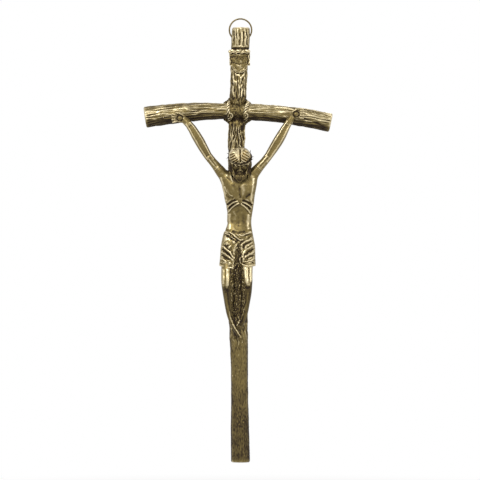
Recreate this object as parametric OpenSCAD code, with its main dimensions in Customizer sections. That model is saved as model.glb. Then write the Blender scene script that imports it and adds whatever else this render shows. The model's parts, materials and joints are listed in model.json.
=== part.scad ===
// Wall crucifix in antique brass: a log cross with a drooping crossbeam lashed on with rope,
// a title scroll, a corpus held by three nails and a hanging ring on a hidden eye.
// Seen from the front, -Y faces the viewer, +X is right and +Z is up.
// The origin is the crossing, on the flat back that lies against the wall.

/* [Upright log] */
// Height of the upright log
upright_h = 254; // [230:1:290]
// Height of the upright's top above the crossing
top_rise = 49; // [46:0.5:56]
// Thickness of the upright log at mid height
upright_d = 10; // [9:0.1:11.5]
// Sideways sweep of the upright's top from the crossing
upright_bow = 2.1; // [0:0.1:4]
// Depth of the bark flutes on both logs
bark_depth = 0.25; // [0:0.05:0.5]

/* [Crossbeam log] */
// Reach of the crossbeam to the left of the crossing
beam_left = 54; // [48:0.5:66]
// Reach of the crossbeam to the right of the crossing
beam_right = 54.6; // [48:0.5:66]
// Thickness of the crossbeam at its waist
beam_d = 9.4; // [8.8:0.1:10.2]
// Radius of the crossbeam's droop
droop_radius = 290; // [220:5:500]
// Distance of the droop's highest point to the left of the crossing
droop_apex = 8; // [0:0.5:16]

/* [Crossing] */
// Gap round the crossbeam in its notch
lap_gap = 0.12; // [0.05:0.01:0.3]
// Diameter of the two dowels through the crossing
dowel_d = 2; // [1.4:0.1:2.4]
// Sideways distance of each dowel from the crossing
dowel_side = 2.2; // [1.8:0.1:2.6]
// How far the dowels go into the crossbeam
dowel_grip = 2.6; // [1.8:0.1:3]

/* [Lashings] */
// Thickness of the two ropes over the crossbeam
rope_d = 2.9; // [2:0.1:3.4]
// Distance of each rope from the crossing
rope_side = 5; // [4.6:0.1:6]
// Lean of the right rope
rope_lean = 8; // [0:1:12]
// Thickness of the four cords in the corners
cord_d = 2.4; // [1.6:0.1:2.8]

/* [Title scroll] */
// Width of the scroll
scroll_w = 12.8; // [9:0.1:16]
// Height of the scroll's plate
scroll_h = 9.2; // [7:0.1:10]
// Thickness of the scroll's plate
scroll_t = 1.7; // [1.3:0.1:2.4]
// Diameter of the roll along the scroll's top
scroll_roll_d = 2.3; // [1.6:0.1:2.8]
// Drop from the upright's top to the scroll
scroll_drop = 13.4; // [12.5:0.1:16]
// Radius of the tongue under the plate
tongue_r = 5; // [3.5:0.1:6]
// Depth of the flat that the scroll sits on
scroll_seat = 1; // [0.6:0.1:1.4]

/* [Hanging ring] */
// Outer diameter of the ring
ring_od = 13.9; // [13.7:0.1:15.5]
// Thickness of the ring's wire
ring_wire = 0.9; // [0.8:0.05:1]
// Drop from the upright's top to the eye
eye_drop = 7.9; // [7.4:0.1:8.2]
// Thickness of the eye's wire
eye_wire = 0.8; // [0.6:0.05:0.9]
// Depth of the step cut in the back for the ring
step_depth = 2.5; // [2.4:0.05:2.8]
// Height of the step cut in the back for the ring
step_h = 10.6; // [10:0.1:12]

/* [Figure] */
// Sideways shift of the figure's hips from the crossing
figure_x = 0.3; // [-1:0.1:1.5]
// Drop from the crossing to the top of the shoulders
shoulder_drop = 34; // [32:0.5:38]
// Height of the trunk and loincloth
trunk_h = 58.7; // [52:0.5:64]
// Greatest width of the trunk
trunk_w = 21.2; // [18:0.1:24]
// Greatest thickness of the chest
chest_t = 10.6; // [9:0.1:12]
// Height of the legs and feet below the loincloth
leg_h = 41.6; // [36:0.5:46]
// Thickness of the thighs
thigh_d = 7.6; // [6.5:0.1:8.6]
// How far the knees stand forward of the trunk's middle
knee_reach = 3.6; // [2:0.1:5]
// Sideways distance from the crossing to the left hand's nail
hand_left = 33.5; // [30:0.5:36]
// Sideways distance from the crossing to the right hand's nail
hand_right = 34.2; // [30:0.5:36]
// Thickness of the arms
arm_d = 5.8; // [4.8:0.1:6.4]
// Width of the head with its hair
head_w = 12.4; // [11.4:0.1:13.2]
// Height of the head from crown to chin
head_h = 15; // [13.5:0.1:16]
// How far the head bows forward
head_bow = 42; // [36:1:46]
// Thickness of the crown's band
crown_d = 1.2; // [0.8:0.1:1.6]
// Number of thorns on the crown
thorns = 12; // [8:1:16]

/* [Nails and pins] */
// Diameter of the nails' shanks
nail_d = 1.1; // [0.8:0.05:1.3]
// Diameter of the nails' heads
nail_head_d = 2.5; // [2:0.1:3]
// How far the nails go into the logs
nail_grip = 3; // [2:0.1:3.4]
// Diameter of the small pins of the scroll, neck and shoulders
pin_d = 1.2; // [0.8:0.1:1.4]

/* [Fits] */
// Gap round each pin, nail and eye leg in its hole
fit_gap = 0.03; // [0.01:0.01:0.06]
// Gap between curved pieces that sit on each other
seat_gap = 0.2; // [0.1:0.05:0.4]
// Gap between faces that butt together
butt_gap = 0.03; // [0.02:0.01:0.1]

/* [Hidden] */

// Overrun of cuts past the faces they open
over = 1;
// Points round a log's section and round a limb's
log_sides = 26;
limb_sides = 20;
// Distance between the rings of the logs
log_pitch = 6.5;
// Width of the bevel at each log end, and how far it draws in
bevel = 0.7;
bevel_share = 0.93;

// Depth of each log's centre line from the back, as a share of its thickness
upright_seat_share = 0.26;
beam_seat_share = 0.37;
// Sideways bow of the upright up its height, as shares of upright_h and upright_bow
upright_bow_shares = [
    [0, 0.86], [0.07, 0.71], [0.14, 0.64], [0.21, 0.55], [0.26, 0.48], [0.3, 0.31], [0.42, 0.05],
    [0.55, -0.24], [0.72, -0.25], [0.768, -0.17], [0.807, 0], [0.845, 0.2], [0.893, 0.42],
    [0.925, 0.6], [0.95, 0.76], [0.975, 0.9], [1, 1]
];
// Thickness of the upright up its height, as shares of upright_h and upright_d
upright_girth_shares = [
    [0, 1.1], [0.07, 1.08], [0.14, 1], [0.21, 1], [0.26, 1.04], [0.3, 1.08], [0.42, 1.06],
    [0.55, 1.02], [0.72, 0.98], [0.768, 0.95], [0.845, 0.95], [0.893, 0.96], [0.925, 0.99],
    [0.95, 1.05], [0.975, 1.08], [1, 1.03]
];
// Thickness of the crossbeam from left to right, as shares of its length and beam_d
beam_girth_shares = [
    [0, 1.27], [0.08, 1.25], [0.13, 1.21], [0.21, 1.2], [0.305, 1.08], [0.38, 1.01], [0.43, 0.98],
    [0.5, 0.98], [0.6, 1], [0.725, 1.03], [0.82, 1.08], [0.9, 1.12], [1, 1.14]
];

upright_foot = top_rise - upright_h;
upright_axis = upright_seat_share * upright_d;
beam_axis = beam_seat_share * beam_d;
beam_r_max = beam_d / 2;
cross_r = upright_r(0);
lap_y = -(upright_axis + cross_r) / 2;
cross_lean = atan(
    (upright_x(beam_d) - upright_x(-beam_d)) / (2 * beam_d)
);

function upright_share(z) = (z - upright_foot) / upright_h;
function upright_x(z) =
    upright_bow * (lookup(upright_share(z), upright_bow_shares)
    - lookup(upright_share(0), upright_bow_shares));
function upright_r(z) = upright_d / 2 * lookup(upright_share(z), upright_girth_shares);
function upright_front(z) = -(upright_axis + upright_r(z));

// Angle along the droop, from its highest point, of a place on the crossbeam
function droop_angle(x) = asin((x + droop_apex) / droop_radius);
droop_start = droop_angle(-beam_left);
droop_end = droop_angle(beam_right);
droop_top = droop_radius * (1 - cos(droop_angle(0)));
function beam_point(a) =
    [droop_radius * sin(a) - droop_apex, 0, droop_top - droop_radius * (1 - cos(a))];
function beam_z(x) = beam_point(droop_angle(x))[2];
function beam_r_at(a) =
    beam_d / 2 * lookup((a - droop_start) / (droop_end - droop_start), beam_girth_shares);
function beam_r(x) = beam_r_at(droop_angle(x));
function beam_front(x) = -(beam_axis + beam_r(x));

// Unit vector along v
function unit(v) = v / norm(v);

// Section of a log: the round cut flat on y = 0, with every other point sunk as a bark flute.
// Its end sections have no flutes, so that the end faces are convex.
function log_ring(centre, side, r, axis, flute) = let (
    reach = acos(-axis / r)
) [
    for (i = [0:log_sides])
        let (
            t = -reach + 2 * reach * i / log_sides,
            rr = r - (i % 2 == 1 ? flute : 0)
        )
        centre + side * rr * sin(t) + [0, -axis - rr * cos(t), 0]
];

// Oval section of a limb
function oval(centre, side, front, half_w, half_d) = [
    for (i = [0:limb_sides - 1])
        let (t = 360 * i / limb_sides)
        centre + side * half_w * cos(t) + front * half_d * sin(t)
];

// Closed solid through a row of sections that have as many points each
module loft(rings) {
    n = len(rings[0]);
    last = (len(rings) - 1) * n;
    points = [for (ring = rings) each ring];
    sides = [
        for (j = [0:len(rings) - 2])
            for (i = [0:n - 1])
                let (a = j * n + i, b = j * n + (i + 1) % n)
                each [[a, b + n, b], [a, a + n, b + n]]
    ];
    caps = [[for (i = [0:n - 1]) i], [for (i = [n - 1:-1:0]) last + i]];
    polyhedron(points, concat(sides, caps));
}

// Cylinder along Y from its rear end to its front end
module rod_y(x, z, r, rear, front) {
    translate([x, rear, z]) rotate([90, 0, 0]) cylinder(h = rear - front, r = r, $fn = 40);
}

// Cylinder between two points
module rod(from, to, r) {
    v = to - from;
    translate(from)
        rotate([0, acos(v[2] / norm(v)), atan2(v[1], v[0])])
            cylinder(h = norm(v), r = r, $fn = 32);
}

// Round of the crossbeam near the crossing, for the cuts that clear it
module beam_round(r) {
    spread = droop_angle(beam_d * 2) - droop_angle(-beam_d * 2);
    translate([-droop_apex, -beam_axis, droop_top - droop_radius])
        rotate([90, 0, 0])
            rotate([0, 0, 90 - droop_angle(beam_d * 2)])
                rotate_extrude(angle = spread, $fn = 720)
                    translate([droop_radius, 0])
                        circle(r = r, $fn = 48);
}

// Round of the upright near the crossing, for the cuts that clear it
module upright_round(r) {
    translate([0, -upright_axis, 0])
        rotate([0, cross_lean, 0])
            cylinder(h = 4 * beam_d, r = r, center = true, $fn = 64);
}

// Upright log

function upright_levels() = let (
    bays = round(upright_h / log_pitch)
) [for (i = [0:bays]) upright_foot + bevel + (upright_h - 2 * bevel) * i / bays];

module upright_log() {
    levels = upright_levels();
    function ring(z, draw, flute) =
        log_ring([upright_x(z), 0, z], [1, 0, 0], upright_r(z) * draw, upright_axis, flute);
    loft(concat(
        [ring(upright_foot, bevel_share, 0)],
        [for (z = levels) ring(z, 1, bark_depth)],
        [ring(top_rise, bevel_share, 0)]
    ));
}

dowel_places = [[-dowel_side, dowel_side / 2], [dowel_side, -dowel_side / 2]];
dowel_rear = -2 * seat_gap;
dowel_front = lap_y - dowel_grip;

module dowel_bores() {
    for (p = dowel_places)
        rod_y(p[0], p[1], dowel_d / 2 + fit_gap, over, dowel_front - seat_gap);
}

module upright() {
    color([0.5, 0.42, 0.24])
    difference() {
        upright_log();
        crossing_notch();
        ring_step();
        scroll_flat();
        dowel_bores();
        scroll_pin_bores();
        eye_bores();
        corpus_pin_bore();
        foot_nail_bore();
    }
}

// Front half of the upright taken out where the crossbeam lies in it
module crossing_notch() {
    intersection() {
        beam_round(beam_r_max + lap_gap);
        translate([-upright_d, lap_y - 2 * beam_d, -beam_d])
            cube([2 * upright_d, 2 * beam_d, 2 * beam_d]);
    }
}

// Crossbeam log

module beam_log() {
    bays = round((beam_left + beam_right) / log_pitch) * 2;
    tip = bevel / droop_radius * 180 / PI;
    inner = [for (i = [0:bays]) droop_start + tip + (droop_end - droop_start - 2 * tip) * i / bays];
    function ring(a, draw, flute) =
        log_ring(beam_point(a), [sin(a), 0, cos(a)], beam_r_at(a) * draw, beam_axis, flute);
    loft(concat(
        [ring(droop_end, bevel_share, 0)],
        [for (i = [bays:-1:0]) ring(inner[i], 1, bark_depth)],
        [ring(droop_start, bevel_share, 0)]
    ));
}

module crossbeam() {
    color([0.56, 0.47, 0.27])
    difference() {
        beam_log();
        rotate([0, cross_lean, 0])
            translate([-cross_r - lap_gap, lap_y, -beam_d])
                cube([2 * (cross_r + lap_gap), -lap_y + over, 2 * beam_d]);
        dowel_bores();
        hand_nail_bore(-hand_left, hand_left_z);
        hand_nail_bore(hand_right, hand_right_z);
    }
}

module joint_pins() {
    color([0.62, 0.54, 0.33])
    for (p = dowel_places)
        rod_y(p[0], p[1], dowel_d / 2, dowel_rear, dowel_front);
}

// Rope lashings over the crossbeam, one at each side of the upright

rope_inner = beam_r_max + seat_gap / 2;
rope_middle = beam_r_max + rope_d / 5;

module lashing(x, lean) {
    difference() {
        translate([x, -beam_axis, beam_z(x)])
            rotate([0, lean, 0])
                rotate([0, 90, 0])
                    rotate([0, 0, 180])
                        rotate_extrude(angle = 180, $fn = 120)
                            difference() {
                                translate([rope_middle, 0]) circle(d = rope_d, $fn = 40);
                                translate([0, -rope_d]) square([rope_inner, 2 * rope_d]);
                            }
        upright_round(cross_r + lap_gap + seat_gap);
    }
}

module lashing_left() {
    color([0.68, 0.58, 0.35]) lashing(-rope_side, 0);
}

module lashing_right() {
    color([0.68, 0.58, 0.35]) lashing(rope_side, rope_lean);
}

// Four cords across the corners between the crossbeam and the upright
module corner_lashing() {
    foot_x = cross_r + cord_d;
    foot_z = beam_r_max;
    y = -beam_axis + seat_gap + cord_d / 2;
    color([0.45, 0.37, 0.22])
    for (sx = [-1, 1], sz = [-1, 1])
        difference() {
            rod(
                [sx * foot_x, y, sz * foot_z + beam_z(sx * foot_x)],
                [sx * (cross_r - cord_d / 3), y, sz * (foot_z + cord_d * 1.25)],
                cord_d / 2
            );
            beam_round(beam_r_max + seat_gap);
            upright_round(cross_r + seat_gap);
        }
}

// Title scroll on its flat, with two pins behind

scroll_top = top_rise - scroll_drop;
scroll_low = scroll_top - scroll_h;
scroll_mid = (scroll_top + scroll_low) / 2;
scroll_x = upright_x(scroll_mid);
scroll_rear = upright_front(scroll_mid) + scroll_seat;
scroll_roll_z = scroll_top - scroll_roll_d / 2;
scroll_pin_side = scroll_w / 7;

module scroll_flat() {
    depth = 2 * upright_d;
    translate([scroll_x - depth / 2, scroll_rear - depth, scroll_low - tongue_r])
        cube([depth, depth, scroll_top + seat_gap - (scroll_low - tongue_r)]);
}

module scroll_pin_bores() {
    for (s = [-1, 1])
        rod_y(
            scroll_x + s * scroll_pin_side, scroll_mid, pin_d / 2 + fit_gap,
            scroll_rear + 2 * pin_d + seat_gap, scroll_rear - scroll_t / 2 - seat_gap
        );
}

module title_scroll() {
    color([0.66, 0.56, 0.33])
    difference() {
        union() {
            translate([scroll_x, scroll_rear - butt_gap, 0])
                rotate([90, 0, 0])
                    linear_extrude(scroll_t)
                        scroll_outline();
            translate([scroll_x - scroll_w / 2, scroll_rear - scroll_t, scroll_roll_z])
                rotate([0, 90, 0])
                    cylinder(h = scroll_w, d = scroll_roll_d, $fn = 48);
        }
        scroll_pin_bores();
        translate([scroll_x - scroll_w, scroll_rear - butt_gap, scroll_low])
            cube([2 * scroll_w, upright_d, 2 * scroll_h]);
    }
}

module scroll_outline() {
    translate([-scroll_w / 2, scroll_low]) square([scroll_w, scroll_h - scroll_roll_d / 2]);
    translate([0, scroll_low + tongue_r / 10]) circle(r = tongue_r, $fn = 64);
}

module scroll_pins() {
    color([0.62, 0.54, 0.33])
    for (s = [-1, 1])
        rod_y(
            scroll_x + s * scroll_pin_side, scroll_mid, pin_d / 2,
            scroll_rear + 2 * pin_d, scroll_rear - scroll_t / 2
        );
}

// Ring and its eye, in the step behind the upright's top

eye_z = top_rise - eye_drop;
ring_r = (ring_od - ring_wire) / 2;
eye_x = upright_x(eye_z);
eye_gap = 3 * fit_gap;
eye_bend = ring_wire / 2 + eye_gap + eye_wire / 2;
eye_y = -(eye_bend + eye_wire / 2 + eye_gap);
eye_leg_front = -step_depth - 3 * eye_wire;

module ring_step() {
    translate([eye_x - upright_d, -step_depth, top_rise - step_h])
        cube([2 * upright_d, step_depth + over, step_h + over]);
}

module eye_bores() {
    for (s = [-1, 1])
        rod_y(
            eye_x, eye_z + s * eye_bend, eye_wire / 2 + fit_gap, -step_depth + over,
            eye_leg_front - eye_gap
        );
}

module ring_eye() {
    color([0.62, 0.54, 0.33])
    union() {
        translate([eye_x, eye_y, eye_z])
            rotate([0, 90, 0])
                rotate_extrude(angle = 180, $fn = 96)
                    translate([eye_bend, 0]) circle(d = eye_wire, $fn = 32);
        for (s = [-1, 1])
            rod_y(eye_x, eye_z + s * eye_bend, eye_wire / 2, eye_y, eye_leg_front);
    }
}

module hanging_ring() {
    color([0.6, 0.5, 0.3])
    translate([eye_x, eye_y, eye_z + ring_r])
        rotate([90, 0, 0])
            rotate_extrude($fn = 120)
                translate([ring_r, 0]) circle(d = ring_wire, $fn = 32);
}

// Figure: its back hangs just clear of the upright's front

figure_z = -shoulder_drop;
hem_z = figure_z - trunk_h;
toe_z = hem_z - leg_h;
figure_back =
    min([for (z = upright_levels()) if (z < figure_z && z > toe_z) upright_front(z)]) - seat_gap;
trunk_r = trunk_w / 2;
chest_r = chest_t / 2;
chest_y = figure_back - chest_r;

// Trunk: [down share, sway share, half width share, half thickness share]
trunk_shares = [
    [0, 0.6, 0.5, 0.6], [0.04, 0.6, 0.82, 0.76], [0.085, 0.65, 0.97, 0.9], [0.136, 0.7, 0.98, 0.98],
    [0.196, 0.8, 0.9, 1], [0.285, 0.9, 0.81, 0.96], [0.344, 0.95, 0.765, 0.92],
    [0.404, 1, 0.715, 0.85], [0.463, 1, 0.66, 0.77], [0.508, 0.9, 0.625, 0.735],
    [0.562, 0.6, 0.665, 0.76], [0.596, 0.4, 0.73, 0.85], [0.642, 0.3, 0.785, 0.9],
    [0.702, 0.3, 0.86, 0.98], [0.762, 0.25, 0.925, 1.04], [0.881, 0.1, 0.955, 1.07],
    [0.94, 0, 0.98, 1.08], [1, 0, 0.97, 1.05]
];
// Leg: [down share, outward share, forward share, half width share, half thickness share]
left_leg_shares = [
    [-0.2, -0.5, 0, 1.1, 1.15], [0.03, -0.56, 0.5, 1, 1.2], [0.13, -0.57, 0.9, 0.98, 1.15],
    [0.22, -0.56, 1, 0.94, 1.07], [0.33, -0.54, 0.5, 0.8, 0.93], [0.46, -0.5, -0.1, 0.68, 0.83],
    [0.6, -0.46, -0.4, 0.53, 0.7], [0.68, -0.38, -0.47, 0.48, 0.62], [0.78, -0.23, -0.47, 0.47, 0.52],
    [0.88, 0, -0.47, 0.45, 0.42], [0.96, 0.15, -0.5, 0.34, 0.32], [1, 0.19, -0.55, 0.16, 0.2]
];
right_leg_shares = [
    [-0.2, 0.47, 0, 1.05, 1.15], [0.03, 0.48, 0.5, 0.9, 1.15], [0.13, 0.49, 0.9, 0.87, 1.12],
    [0.2, 0.49, 1, 0.84, 1.05], [0.33, 0.5, 0.5, 0.7, 0.88], [0.46, 0.44, -0.1, 0.6, 0.78],
    [0.6, 0.37, -0.5, 0.52, 0.66], [0.68, 0.3, -0.75, 0.49, 0.55], [0.77, 0.14, -0.88, 0.46, 0.45],
    [0.86, -0.02, -0.93, 0.44, 0.38], [0.94, -0.11, -0.95, 0.34, 0.3]
];
// Arm from shoulder to wrist: [along share, outward bend share, half width share, half depth share]
arm_shares = [
    [0, 0, 1.06, 1.06], [0.08, 0.15, 1.05, 1.05], [0.2, 0.6, 0.83, 0.85], [0.3, 0.95, 0.82, 0.85],
    [0.4, 0.85, 0.93, 0.93], [0.5, 0.5, 1, 0.96], [0.6, 0.15, 1, 0.94], [0.7, -0.15, 0.94, 0.88],
    [0.8, -0.4, 0.86, 0.8], [0.9, -0.3, 0.76, 0.7], [1, 0, 0.6, 0.5]
];

module limb_down(shares, side_unit, reach_unit, girth_unit) {
    rings = [
        for (s = shares)
            oval(
                [figure_x + s[1] * side_unit, chest_y - s[2] * reach_unit, hem_z - s[0] * leg_h],
                [1, 0, 0], [0, 1, 0], s[3] * girth_unit, s[4] * girth_unit
            )
    ];
    loft([for (i = [len(rings) - 1:-1:0]) rings[i]]);
}

module trunk() {
    rings = [
        for (s = trunk_shares)
            oval(
                [figure_x + s[1] * trunk_r / 9, figure_back - s[3] * chest_r, figure_z - s[0] * trunk_h],
                [1, 0, 0], [0, 1, 0], s[2] * trunk_r, s[3] * chest_r
            )
    ];
    loft([for (i = [len(rings) - 1:-1:0]) rings[i]]);
}

// Shoulders, where the arms butt on
shoulder_y = figure_back - chest_r * 0.85;
shoulder_side = trunk_r * 0.98;
shoulder_z = figure_z - trunk_h / 40;
arm_r = arm_d / 2;
left_shoulder = [figure_x - shoulder_side, shoulder_y, shoulder_z];
right_shoulder = [figure_x + shoulder_side, shoulder_y, shoulder_z];

// Hands, flat against the crossbeam
palm_r = arm_d * 0.44;
palm_t = arm_d / 3;
finger_r = palm_r / 4.4;
hand_left_z = beam_z(-hand_left) - beam_r(-hand_left) * 0.56;
hand_right_z = beam_z(hand_right) + beam_r(hand_right) * 0.22;
function palm_rear(x) = beam_front(x) - seat_gap;
left_palm = [-hand_left, palm_rear(-hand_left) - palm_t / 2, hand_left_z];
right_palm = [hand_right, palm_rear(hand_right) - palm_t / 2, hand_right_z];
left_wrist = left_palm + [palm_r, -palm_t / 6, -palm_r / 3];
right_wrist = right_palm + [-palm_r, -palm_t / 6, -palm_r];

// Arm that starts on a flat face square to its run and ends in the palm, short of the nail's head
module arm_limb(shoulder, wrist, palm, out) {
    run = wrist - shoulder;
    along = unit([run[0], 0, run[2]]);
    side = [along[2], 0, -along[0]];
    bend = arm_r * 0.36 * out;
    tail = max((palm - wrist) * along - nail_head_d / 2 - seat_gap, butt_gap);
    rings = [
        for (s = arm_shares)
            oval(
                shoulder + (s[0] == 0 ? along * butt_gap : run * s[0]) + side * s[1] * bend,
                side, [0, 1, 0], s[2] * arm_r, s[3] * arm_r
            )
    ];
    loft(concat(rings, [oval(wrist + along * tail, side, [0, 1, 0], arm_r / 2, arm_r * 0.4)]));
}

// Palm with four fingers and a thumb that point away from the crossing
finger_reach_share = 2.05;

module hand(palm, out) {
    translate(palm)
        rotate([90, 0, 0]) cylinder(h = palm_t, r = palm_r, center = true, $fn = 48);
    for (k = [-1.5:1:1.5])
        let (
            way = [out * cos(k * 15), 0, sin(k * 15)],
            reach = palm_r * (finger_reach_share - abs(k) * 0.07)
        )
        rod(palm + way * palm_r * 0.7, palm + way * reach, finger_r);
    rod(
        palm + [-out * palm_r * 0.75, 0, palm_r * 0.5],
        palm + [out * palm_r * 0.95, 0, palm_r * 1.12],
        finger_r * 1.1
    );
}

module hand_nail_bore(x, z) {
    rod_y(x, z, nail_d / 2 + fit_gap, beam_front(x) + nail_grip + seat_gap, beam_front(x) - beam_d);
}

module shoulder_pin(shoulder, wrist, gap) {
    run = wrist - shoulder;
    along = unit([run[0], 0, run[2]]);
    rod(
        shoulder - along * (2 * pin_d + gap),
        shoulder + along * (2 * pin_d + gap),
        pin_d / 2 + gap
    );
}

module left_arm() {
    color([0.68, 0.6, 0.36])
    difference() {
        union() {
            arm_limb(left_shoulder, left_wrist, left_palm, -1);
            hand(left_palm, -1);
        }
        hand_nail_bore(-hand_left, hand_left_z);
        shoulder_pin(left_shoulder, left_wrist, fit_gap);
    }
}

module right_arm() {
    color([0.68, 0.6, 0.36])
    difference() {
        union() {
            arm_limb(right_shoulder, right_wrist, right_palm, 1);
            hand(right_palm, 1);
        }
        hand_nail_bore(hand_right, hand_right_z);
        shoulder_pin(right_shoulder, right_wrist, fit_gap);
    }
}

module shoulder_pins() {
    color([0.62, 0.54, 0.33]) {
        shoulder_pin(left_shoulder, left_wrist, 0);
        shoulder_pin(right_shoulder, right_wrist, 0);
    }
}

// Stub of the trunk that an arm butts on
module shoulder_stub(shoulder, wrist) {
    run = wrist - shoulder;
    along = unit([run[0], 0, run[2]]);
    side = [along[2], 0, -along[0]];
    inner = shoulder - along * arm_r * 1.8;
    loft([
        oval(inner, side, [0, 1, 0], arm_r, arm_r * 1.1),
        oval(shoulder - along * arm_r / 2, side, [0, 1, 0], arm_r * 1.1, arm_r * 1.12),
        oval(shoulder, side, [0, 1, 0], arm_r * 1.06, arm_r * 1.06)
    ]);
}

// Neck, cut level under the head
neck_r = head_w / 4.2;
neck_top = figure_z + neck_r / 4;
neck_y = shoulder_y - neck_r * 0.7;
head_x = figure_x + trunk_r * 0.12;

module neck() {
    loft([
        oval([head_x, neck_y + neck_r / 2, figure_z - neck_r], [1, 0, 0], [0, 1, 0], neck_r * 1.1, neck_r),
        oval([head_x, neck_y, neck_top], [1, 0, 0], [0, 1, 0], neck_r, neck_r * 0.9)
    ]);
}

corpus_pin_z = figure_z - trunk_h * 0.3;
corpus_pin_x = upright_x(corpus_pin_z);
corpus_pin_d = pin_d * 1.4;

module corpus_pin_bore() {
    rod_y(
        corpus_pin_x, corpus_pin_z, corpus_pin_d / 2 + fit_gap,
        upright_front(corpus_pin_z) + nail_grip + seat_gap,
        figure_back - nail_grip - seat_gap
    );
}

module corpus_pin() {
    color([0.62, 0.54, 0.33])
    rod_y(
        corpus_pin_x, corpus_pin_z, corpus_pin_d / 2,
        upright_front(corpus_pin_z) + nail_grip, figure_back - nail_grip
    );
}

// Nail through the crossed feet
foot_nail_z = hem_z - leg_h * 0.8;
foot_nail_x = figure_x + trunk_r * 0.04;
instep_y = chest_y + knee_reach * 0.47 - thigh_d / 2 * 0.5;

module foot_nail_bore() {
    rod_y(
        foot_nail_x, foot_nail_z, nail_d / 2 + fit_gap,
        upright_front(foot_nail_z) + nail_grip + seat_gap, instep_y - thigh_d
    );
}

module corpus_body() {
    color([0.6, 0.52, 0.3])
    difference() {
        union() {
            trunk();
            limb_down(left_leg_shares, trunk_r, knee_reach, thigh_d / 2);
            limb_down(right_leg_shares, trunk_r, knee_reach, thigh_d / 2);
            shoulder_stub(left_shoulder, left_wrist);
            shoulder_stub(right_shoulder, right_wrist);
            neck();
        }
        shoulder_pin(left_shoulder, left_wrist, fit_gap);
        shoulder_pin(right_shoulder, right_wrist, fit_gap);
        neck_pin_bore();
        corpus_pin_bore();
        foot_nail_bore();
    }
}

// Head, bowed forward on the neck, with a beard that hangs clear of the chest
head_r = head_w / 2;
head_z = neck_top + head_h * 0.37;
head_y = neck_y - head_r * 0.55;
head_rows = 14;
beard_rear = figure_back - chest_t * 0.98 - seat_gap;
beard_low = neck_top - head_h * 0.6;

module neck_pin_bore() {
    rod(
        [head_x, neck_y, neck_top - 2 * pin_d - fit_gap],
        [head_x, neck_y, neck_top + 2 * pin_d + fit_gap],
        pin_d / 2 + fit_gap
    );
}

module neck_pin() {
    color([0.62, 0.54, 0.33])
    rod([head_x, neck_y, neck_top - 2 * pin_d], [head_x, neck_y, neck_top + 2 * pin_d], pin_d / 2);
}

// Egg that narrows to the chin
module skull() {
    loft([
        for (i = [1:head_rows - 1])
            let (
                t = 180 * i / head_rows,
                draw = sin(t) * (1 - 0.12 * (1 + cos(t)) / 2)
            )
            oval([0, 0, -head_h / 2 * cos(t)], [1, 0, 0], [0, 1, 0], head_r * draw, head_r * draw)
    ]);
}

module beard() {
    width = head_w * 0.33;
    depth = head_w * 0.15;
    y = beard_rear - depth;
    loft([
        oval([head_x, y, beard_low], [1, 0, 0], [0, 1, 0], width * 0.3, depth * 0.5),
        oval([head_x, y, beard_low + head_h * 0.2], [1, 0, 0], [0, 1, 0], width * 0.75, depth * 0.95),
        oval([head_x, y, neck_top + head_h * 0.12], [1, 0, 0], [0, 1, 0], width, depth)
    ]);
}

module corpus_head() {
    color([0.55, 0.47, 0.27])
    difference() {
        union() {
            translate([head_x, head_y, head_z]) rotate([head_bow, 0, 0]) skull();
            beard();
        }
        translate([head_x - head_w, beard_rear, neck_top + butt_gap - 2 * head_h])
            cube([2 * head_w, 2 * head_h, 2 * head_h]);
        neck_pin_bore();
    }
}

// Crown of thorns round the head
crown_lift = head_h * 0.06;
crown_r = head_r + seat_gap + crown_d / 2;
thorn_len = crown_d * 1.1;

module thorn_crown() {
    color([0.36, 0.3, 0.18])
    translate([head_x, head_y, head_z])
        rotate([head_bow, 0, 0])
            translate([0, 0, crown_lift])
                union() {
                    rotate_extrude($fn = 96)
                        translate([crown_r, 0]) circle(d = crown_d, $fn = 32);
                    for (k = [0:thorns - 1])
                        rotate([0, 0, 360 * k / thorns])
                            translate([crown_r, 0, 0])
                                rotate([0, 60, 0])
                                    cylinder(h = thorn_len, r1 = crown_d / 3, r2 = crown_d / 12, $fn = 16);
                }
}

// Nail along Y: a domed head in front of what it holds, and a shank into the log behind
module nail(x, z, seat, rear) {
    dome = nail_head_d / 2;
    rise = dome * 0.55;
    ball = (dome * dome + rise * rise) / (2 * rise);
    union() {
        rod_y(x, z, nail_d / 2, rear, seat - rise / 2);
        translate([x, seat, z])
            rotate([90, 0, 0])
                rotate_extrude($fn = 48)
                    intersection() {
                        translate([0, rise - ball]) circle(r = ball, $fn = 96);
                        square([dome, rise]);
                    }
    }
}

module hand_nail(palm) {
    color([0.7, 0.62, 0.4])
    nail(
        palm[0], palm[2], palm[1] - palm_t / 2 - butt_gap, beam_front(palm[0]) + nail_grip
    );
}

module left_hand_nail() {
    hand_nail(left_palm);
}

module right_hand_nail() {
    hand_nail(right_palm);
}

module foot_nail() {
    color([0.7, 0.62, 0.4])
    nail(
        foot_nail_x, foot_nail_z, instep_y - seat_gap, upright_front(foot_nail_z) + nail_grip
    );
}

upright();
crossbeam();
joint_pins();
lashing_left();
lashing_right();
corner_lashing();
title_scroll();
scroll_pins();
ring_eye();
hanging_ring();
corpus_body();
corpus_head();
thorn_crown();
neck_pin();
left_arm();
right_arm();
shoulder_pins();
corpus_pin();
left_hand_nail();
right_hand_nail();
foot_nail();
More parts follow.
